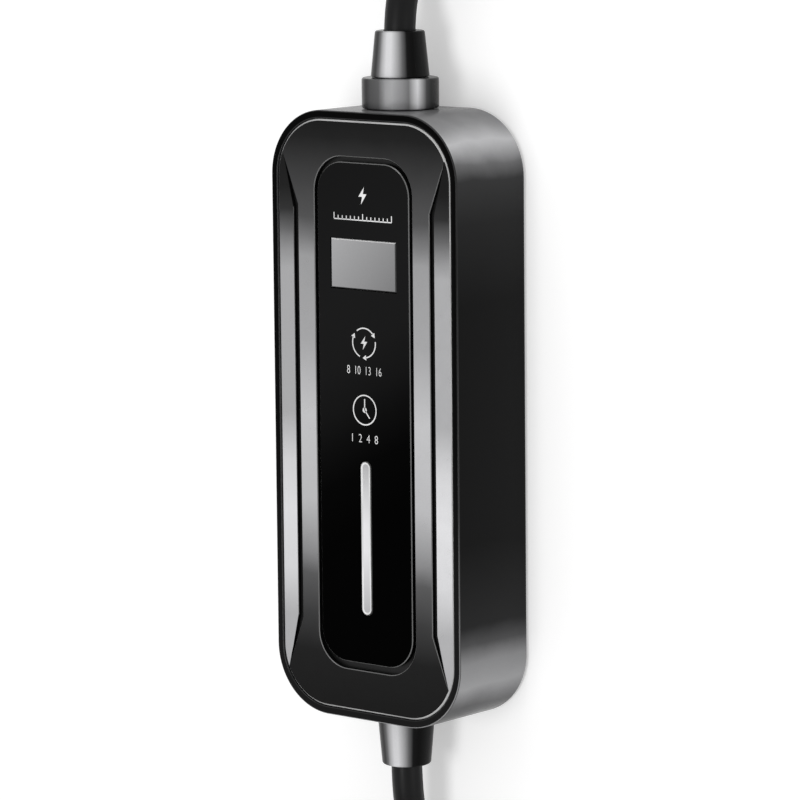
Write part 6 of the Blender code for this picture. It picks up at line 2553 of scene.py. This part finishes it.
@dataclass
class MainsPlug:
    """The round mains plug with two pins, side clips and a ribbed grip.

    Attributes:
        axis_x: Its axis across the box's middle.
        axis_z: Its axis above the floor.
    """

    axis_x: float = 0.0200
    axis_z: float = 0.0453
    radius: float = 0.0195
    waist: float = 0.0195 * 0.78
    sleeve_start: float = 0.2958
    start: float = 0.3198
    end: float = 0.3558
    tip_radius: float = 0.0093
    pin_radius: float = 0.0024
    pin_length: float = 0.0190
    pin_spacing: float = 0.0190
    clip_half: float = 0.0030
    clip_length: float = 0.0130
    clip_depth: float = 0.0012
    edge: float = 0.0010
    gap: float = 0.0003
    grips: int = 22

    def axis(self, aside: float = 0.0) -> Point:
        """Give the point of the axis that the distances start from."""
        return (self.axis_x + aside, 0.0, self.axis_z)

    def body(self) -> Piece:
        """Make the plug's moulded body with seats for the side clips.

        Returns:
            The piece's object.
        """
        waist = self.waist
        knots = [
            (self.tip_radius + 0.0010, self.start),
            (waist * 0.86, self.start + 0.0020),
            (waist * 0.97, self.start + 0.0055),
            (waist, self.start + 0.0090),
            (waist * 1.03, self.start + 0.0150),
            (self.radius - 0.0012, self.start + 0.0188),
            (self.radius - 0.0003, self.start + 0.0206),
            (self.radius, self.start + 0.0222),
        ]
        line = smooth_line([(radius, along, 0.0) for radius, along in knots], 0.0006)
        profile = [(float(radius), float(along)) for radius, along, _ in line]
        profile += [(self.radius - inset, self.end - drop) for inset, drop in quarter(self.edge, 5)]
        profile += [
            (self.radius - 0.0035, self.end),
            (self.radius - 0.0040, self.end - 0.0006),
            (0.0004, self.end - 0.0006),
        ]
        body = Shape().turned(profile, self.axis(), TO_SUPPLY, 96).mesh("mains_plug_body", PLUG_PLASTIC)
        seats = Shape()
        left, right = self.axis_x - self.clip_half - self.gap, self.axis_x + self.clip_half + self.gap
        start, end = self.end - self.clip_length, self.end + 0.001
        outline = [(left, start), (right, start), (right, end), (left, end)]
        for side in (-1, 1):
            low, high = sorted(self.axis_z + side * (self.radius + out) for out in (-self.clip_depth, 0.002))
            seats.slab(outline, low, high)
        carve(body, seats)
        return seat(crease(body, 35.0), Slot.PLUG_BLACK, "plug_body")

    def grip(self) -> Piece:
        """Make the raised ribs round the waist.

        Returns:
            The piece's object.
        """
        profile = (
            (0.00008, -0.0052), (0.00045, -0.0046), (0.0005, 0.0), (0.00045, 0.0046), (0.00008, 0.0052)
        )
        item = Shape().turned(profile, (0.0, 0.0, 0.0), sides=10).mesh("grip_item", PLUG_PLASTIC)
        centre = (self.axis_x, self.start + 0.0102, self.axis_z)
        ribs = set_round_axis("mains_plug_grip", item, self.grips, self.waist + 0.0001, centre, PLUG_PLASTIC)
        return seat(crease(ribs, 50.0), Slot.PLUG_BLACK)

    def pins(self) -> Piece:
        """Make both contact pins with round tips and insulated roots.

        Returns:
            The piece's object.
        """
        shape = Shape()
        tip = self.end + self.pin_length
        profile = [(self.pin_radius, self.end - 0.0040)]
        for inset, drop in quarter(self.pin_radius, 6):
            profile.append((max(0.0001, self.pin_radius - inset), tip - drop))
        for side in (-1, 1):
            shape.turned(profile, self.axis(side * self.pin_spacing / 2), TO_SUPPLY, 32)
        return seat(shape.mesh("mains_plug_pins", NICKEL, 50.0), Slot.BRIGHT_METAL)

    def clips(self) -> Piece:
        """Make both spring clips for the earth contact, each gently bowed.

        Returns:
            The piece's object.
        """
        shape = Shape()
        half = self.clip_half
        count = 10
        for side in (-1, 1):
            rings = []
            for step in range(count + 1):
                share = step / count
                bow = 0.0006 * math.sin(math.pi * share)
                y = self.end - self.clip_length + 0.0006 + (self.clip_length - 0.0012) * share
                inner = self.radius - self.clip_depth + 0.0001
                outer = inner + 0.0005 + bow * 0.8
                low, high = self.axis_z + side * inner, self.axis_z + side * outer
                corners = ((-half, low), (half, low), (half * 0.8, high), (-half * 0.8, high))
                rings.append([Vector((self.axis_x + x, y, z)) for x, z in corners])
            shape.loft(rings)
        return seat(shape.mesh("mains_plug_earth_clips", NICKEL, 40.0), Slot.BRIGHT_METAL)

    def sleeve(self) -> Piece:
        """Make the plug's ribbed strain relief.

        Returns:
            The piece's object.
        """
        tip = 0.0072
        length = self.start - self.gap - self.sleeve_start
        profile = [(tip - 0.0004, self.sleeve_start), (tip, self.sleeve_start + 0.0006)]
        ribs = 6
        for index in range(ribs):
            low = 0.10 + 0.80 * index / ribs
            for share, sink in ((low, 0.0), (low + 0.085, 0.0), (low + 0.095, 0.0009), (low + 0.130, 0.0009)):
                radius = tip + (self.tip_radius - tip) * share - sink
                profile.append((radius, self.sleeve_start + length * share))
        profile += [
            (self.tip_radius - 0.0001, self.sleeve_start + length * 0.91),
            (self.tip_radius, self.sleeve_start + length),
        ]
        shape = Shape().turned(profile, self.axis(), TO_SUPPLY, 64)
        return seat(
            shape.mesh("mains_plug_strain_relief", PLUG_PLASTIC, 40.0), Slot.SLEEVE_BLACK, "plug_sleeve"
        )

    def build(self) -> list[Piece]:
        """Make every piece of the plug."""
        return [self.body(), self.grip(), self.pins(), self.clips(), self.sleeve()]


@dataclass
class VehicleConnector:
    """The vehicle connector with seven contacts and a two-shell handle.

    Attributes:
        axis_x: Its middle plane.
        nose_z: The nose's axis above the floor.
        tail_z: The handle's tail above the floor.
    """

    axis_x: float = -0.0240
    nose_z: float = 0.0778
    tail_z: float = 0.0654
    nose_radius: float = 0.0260
    nose_flat: float = 0.0210
    flange_radius: float = 0.0280
    flange_length: float = 0.0060
    wall: float = 0.0030
    slot: float = 0.0028
    slot_depth: float = 0.0300
    sleeve_start: float = -0.3317
    handle_start: float = -0.3044
    nose_start: float = -0.2421
    nose_end: float = -0.1921
    tail_radius: float = 0.0135
    gap: float = 0.0003
    hole_radius: float = 0.0027
    contact_ring: float = 0.0115
    contact_length: float = 0.0200
    contact_radius: float = 0.0023
    contact_bore: float = 0.0015
    contact_sunk: float = 0.0030
    contact_edge: float = 0.0003
    edge: float = 0.0008
    ribs: int = 7

    def section(self, radius: float, y: float, steps: int = 96) -> Ring:
        """Give the nose's round outline with its flat top, across the box's length.

        Args:
            radius: The radius of its round part.
            y: Its place along the box.
            steps: How many points it has.

        Returns:
            The outline's points.
        """
        flat = radius - self.nose_radius + self.nose_flat
        points = []
        for step in range(steps):
            angle = math.tau * step / steps
            z = min(radius * math.sin(angle), flat)
            points.append(Vector((self.axis_x + radius * math.cos(angle), y, self.nose_z + z)))
        return points

    def contact_places(self) -> list[tuple[float, float]]:
        """Give the x, z places of the seven contacts.

        Returns:
            The places.
        """
        places = [(self.axis_x, self.nose_z)]
        for step in range(6):
            angle = math.tau * (step + 0.5) / 6
            aside, up = self.contact_ring * math.cos(angle), self.contact_ring * math.sin(angle)
            places.append((self.axis_x + aside, self.nose_z + up))
        return places

    def nose(self) -> Piece:
        """Make the nose with its flange, slot and contact holes.

        Returns:
            The piece's object.
        """
        edge = self.edge
        flange_end = self.nose_start + self.flange_length
        rings = [
            self.section(self.flange_radius - edge, self.nose_start),
            self.section(self.flange_radius, self.nose_start + edge),
            self.section(self.flange_radius, flange_end - edge),
            self.section(self.flange_radius - edge, flange_end),
            self.section(self.nose_radius + edge * 0.3, flange_end),
            self.section(self.nose_radius, flange_end + edge * 0.5),
            self.section(self.nose_radius, self.nose_end - edge),
            self.section(self.nose_radius - edge, self.nose_end),
        ]
        nose = Shape().loft(rings).mesh("vehicle_connector_nose", PLUG_PLASTIC)
        outer = self.nose_radius - self.wall
        inner = outer - self.slot
        above = self.nose_end + self.gap
        low = self.nose_end - self.slot_depth
        corners = ((inner, low), (outer, low), (outer, above), (inner, above))
        carve(nose, Shape().loft([self.section(radius, y) for radius, y in corners], closed=True))
        holes = Shape()
        for x, z in self.contact_places():
            start = self.nose_end - self.contact_length - self.gap
            profile = (
                (self.hole_radius, start),
                (self.hole_radius, self.nose_end - edge * 0.6),
                (self.hole_radius + edge, above),
            )
            holes.turned(profile, (x, 0.0, z), TO_SUPPLY, 32)
        carve(nose, holes)
        return seat(crease(nose, 35.0), Slot.PLUG_BLACK, "connector_nose")

    def contacts(self) -> Piece:
        """Make the seven contact sockets inside the nose.

        Returns:
            The piece's object.
        """
        outer, inner, edge = self.contact_radius, self.contact_bore, self.contact_edge
        low, high = -self.contact_length, -self.contact_sunk
        profile = [(inner, low + 0.002), (outer, low), (outer, high - edge), (outer - edge, high)]
        profile += [(inner + 0.0002, high), (inner, high - 0.0004)]
        item = Shape().turned(
            profile, (0.0, 0.0, 0.0), TO_SUPPLY, 24, closed=True
        ).mesh("contact_item", BRASS)
        places = [(x, self.nose_end, z) for x, z in self.contact_places()]
        return seat(
            crease(set_at_places("vehicle_connector_contacts", item, places, BRASS), 40.0), Slot.BRIGHT_METAL
        )

    def radius_at(self, share: float) -> float:
        """Give the handle's radius at a share of its length."""
        ease = share * share * (3 - 2 * share)
        return self.tail_radius + (self.flange_radius - 0.0010 - self.tail_radius) * ease ** 1.4

    def middle_at(self, share: float) -> float:
        """Give the height of the handle's middle at a share of its length."""
        ease = share * share * (3 - 2 * share)
        return self.tail_z + (self.nose_z - self.tail_z) * ease

    def shell(self, name: str, side: int, node: str) -> Piece:
        """Make one handle shell.

        Args:
            name: The shell's name.
            side: 1 for the +X shell, -1 for the other.
            node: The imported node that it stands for.

        Returns:
            The shell's object.
        """
        sections = around = 40
        end = self.nose_start - self.gap
        rings = []
        for index in range(sections + 1):
            share = index / sections
            closing = 0.0008 if index in (0, sections) else 0.0
            radius = self.radius_at(share) - closing
            y = self.handle_start + (end - self.handle_start) * share
            ring = []
            for step in range(around + 1):
                angle = math.pi * (step / around - 0.5)
                seam = 0.0005 if step in (0, around) else 0.0
                x = 0.0 if step in (0, around) else side * radius * math.cos(angle)
                z = self.middle_at(share) + (radius - seam) * math.sin(angle)
                ring.append(Vector((self.axis_x + side * self.gap / 2 + x, y, z)))
            rings.append(ring)
        return seat(Shape().loft(rings).mesh(name, PLUG_PLASTIC, 40.0), Slot.PLUG_BLACK, node)

    def grip(self) -> Piece:
        """Make the raised grip ribs over the top and sides of the handle.

        Returns:
            The piece's object.
        """
        ribs = Shape()
        for index in range(self.ribs):
            share = 0.22 + 0.07 * index
            y = self.handle_start + (self.nose_start - self.handle_start) * share
            radius, middle = self.radius_at(share), self.middle_at(share)
            rings = []
            count = 32
            for step in range(count + 1):
                angle = math.pi * (0.06 + 0.88 * step / count)
                fade = min(1.0, 6 * min(step, count - step) / count)
                rise = 0.0001 + 0.0007 * fade
                half = ((-0.0005, -0.0011), (rise * 0.5, -0.0011), (rise, -0.0005))
                ring = []
                for out, along in (*half, *((out, -along) for out, along in half[::-1])):
                    reach = radius + out
                    ring.append(
                        Vector(
                            (
                                self.axis_x + reach * math.cos(angle),
                                y + along,
                                middle + reach * math.sin(angle),
                            ),
                        ),
                    )
                rings.append(ring)
            ribs.loft(rings)
        return seat(ribs.mesh("vehicle_connector_grip", SEAL_RUBBER, 40.0), Slot.SEAL_RUBBER)

    def sleeve(self) -> Piece:
        """Make the connector's ribbed strain relief, which leans with the cable.

        Returns:
            The piece's object.
        """
        tip = Vector((self.axis_x, self.sleeve_start, 0.0642))
        root = Vector((self.axis_x, self.handle_start - self.gap, self.tail_z))
        rings = []
        count = 48
        for step in range(count + 1):
            share = step / count
            radius = 0.0074 + 0.0036 * share
            wave = (share * 7) % 1.0
            sink = 0.0008 if 0.1 < share < 0.92 and wave > 0.62 else 0.0
            centre = tip.lerp(root, share)
            ring = []
            for turn in range(48):
                angle = math.tau * turn / 48
                ring.append(
                    centre + Vector(
                        ((radius - sink) * math.cos(angle), 0.0, (radius - sink) * math.sin(angle))
                    ),
                )
            rings.append(ring)
        shape = Shape().loft(rings)
        return seat(
            shape.mesh("vehicle_connector_strain_relief", PLUG_PLASTIC, 40.0),
            Slot.SLEEVE_BLACK,
            "connector_sleeve",
        )

    def build(self) -> list[Piece]:
        """Make every piece of the connector.

        Returns:
            The pieces' objects.
        """
        shells = [
            self.shell("vehicle_handle_left", -1, "handle_left"),
            self.shell("vehicle_handle_right", 1, "handle_right"),
        ]
        return [self.nose(), self.contacts(), *shells, self.grip(), self.sleeve()]


@dataclass
class CarriedNodes:
    """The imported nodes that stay, each with a finish from its slot.

    Attributes:
        finishes: The finish of each slot.
    """

    finishes: dict[Slot, Finish] = field(default_factory=lambda: dict(SLOT_FINISHES))

    def dress(self) -> int:
        """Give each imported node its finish.

        Returns:
            How many nodes were dressed.
        """
        rows = frame["record"]["subparts"]
        for row in rows:
            node = frame["nodes"][row["node"]]
            material = self.finishes[Slot(row["material_slot"])].material()
            node.data.materials.clear()
            node.data.materials.append(material)
        return len(rows)


def main() -> None:
    """Build every sub-assembly in order."""
    logging.basicConfig(level=logging.INFO, format="%(message)s")
    PhotoCamera().place()
    LOG.info("dressed %d packed nodes", CarriedNodes().dress())
    supply_tie = HankTie("supply_tie", "supply_tie", 0.285, 0.042, 0.0255).build()
    supply_cable().build([*supply_tie, *MainsPlug().build()])
    vehicle_tie = HankTie("vehicle_tie", "vehicle_tie", -0.2975, 0.054, 0.0495).build()
    vehicle_cable().build([*vehicle_tie, *VehicleConnector().build()])
    for maker in (Housing(), FrontCover(), TouchPanel(), DisplayLens(), StatusLight(), CoverScrews()):
        LOG.info("made %s", maker.build().name)
    for piece in (*CableGlands().build(), *PanelMarks().build()):
        LOG.info("made %s", piece.name)
    Studio().build()


if __name__ == "__main__":
    main()
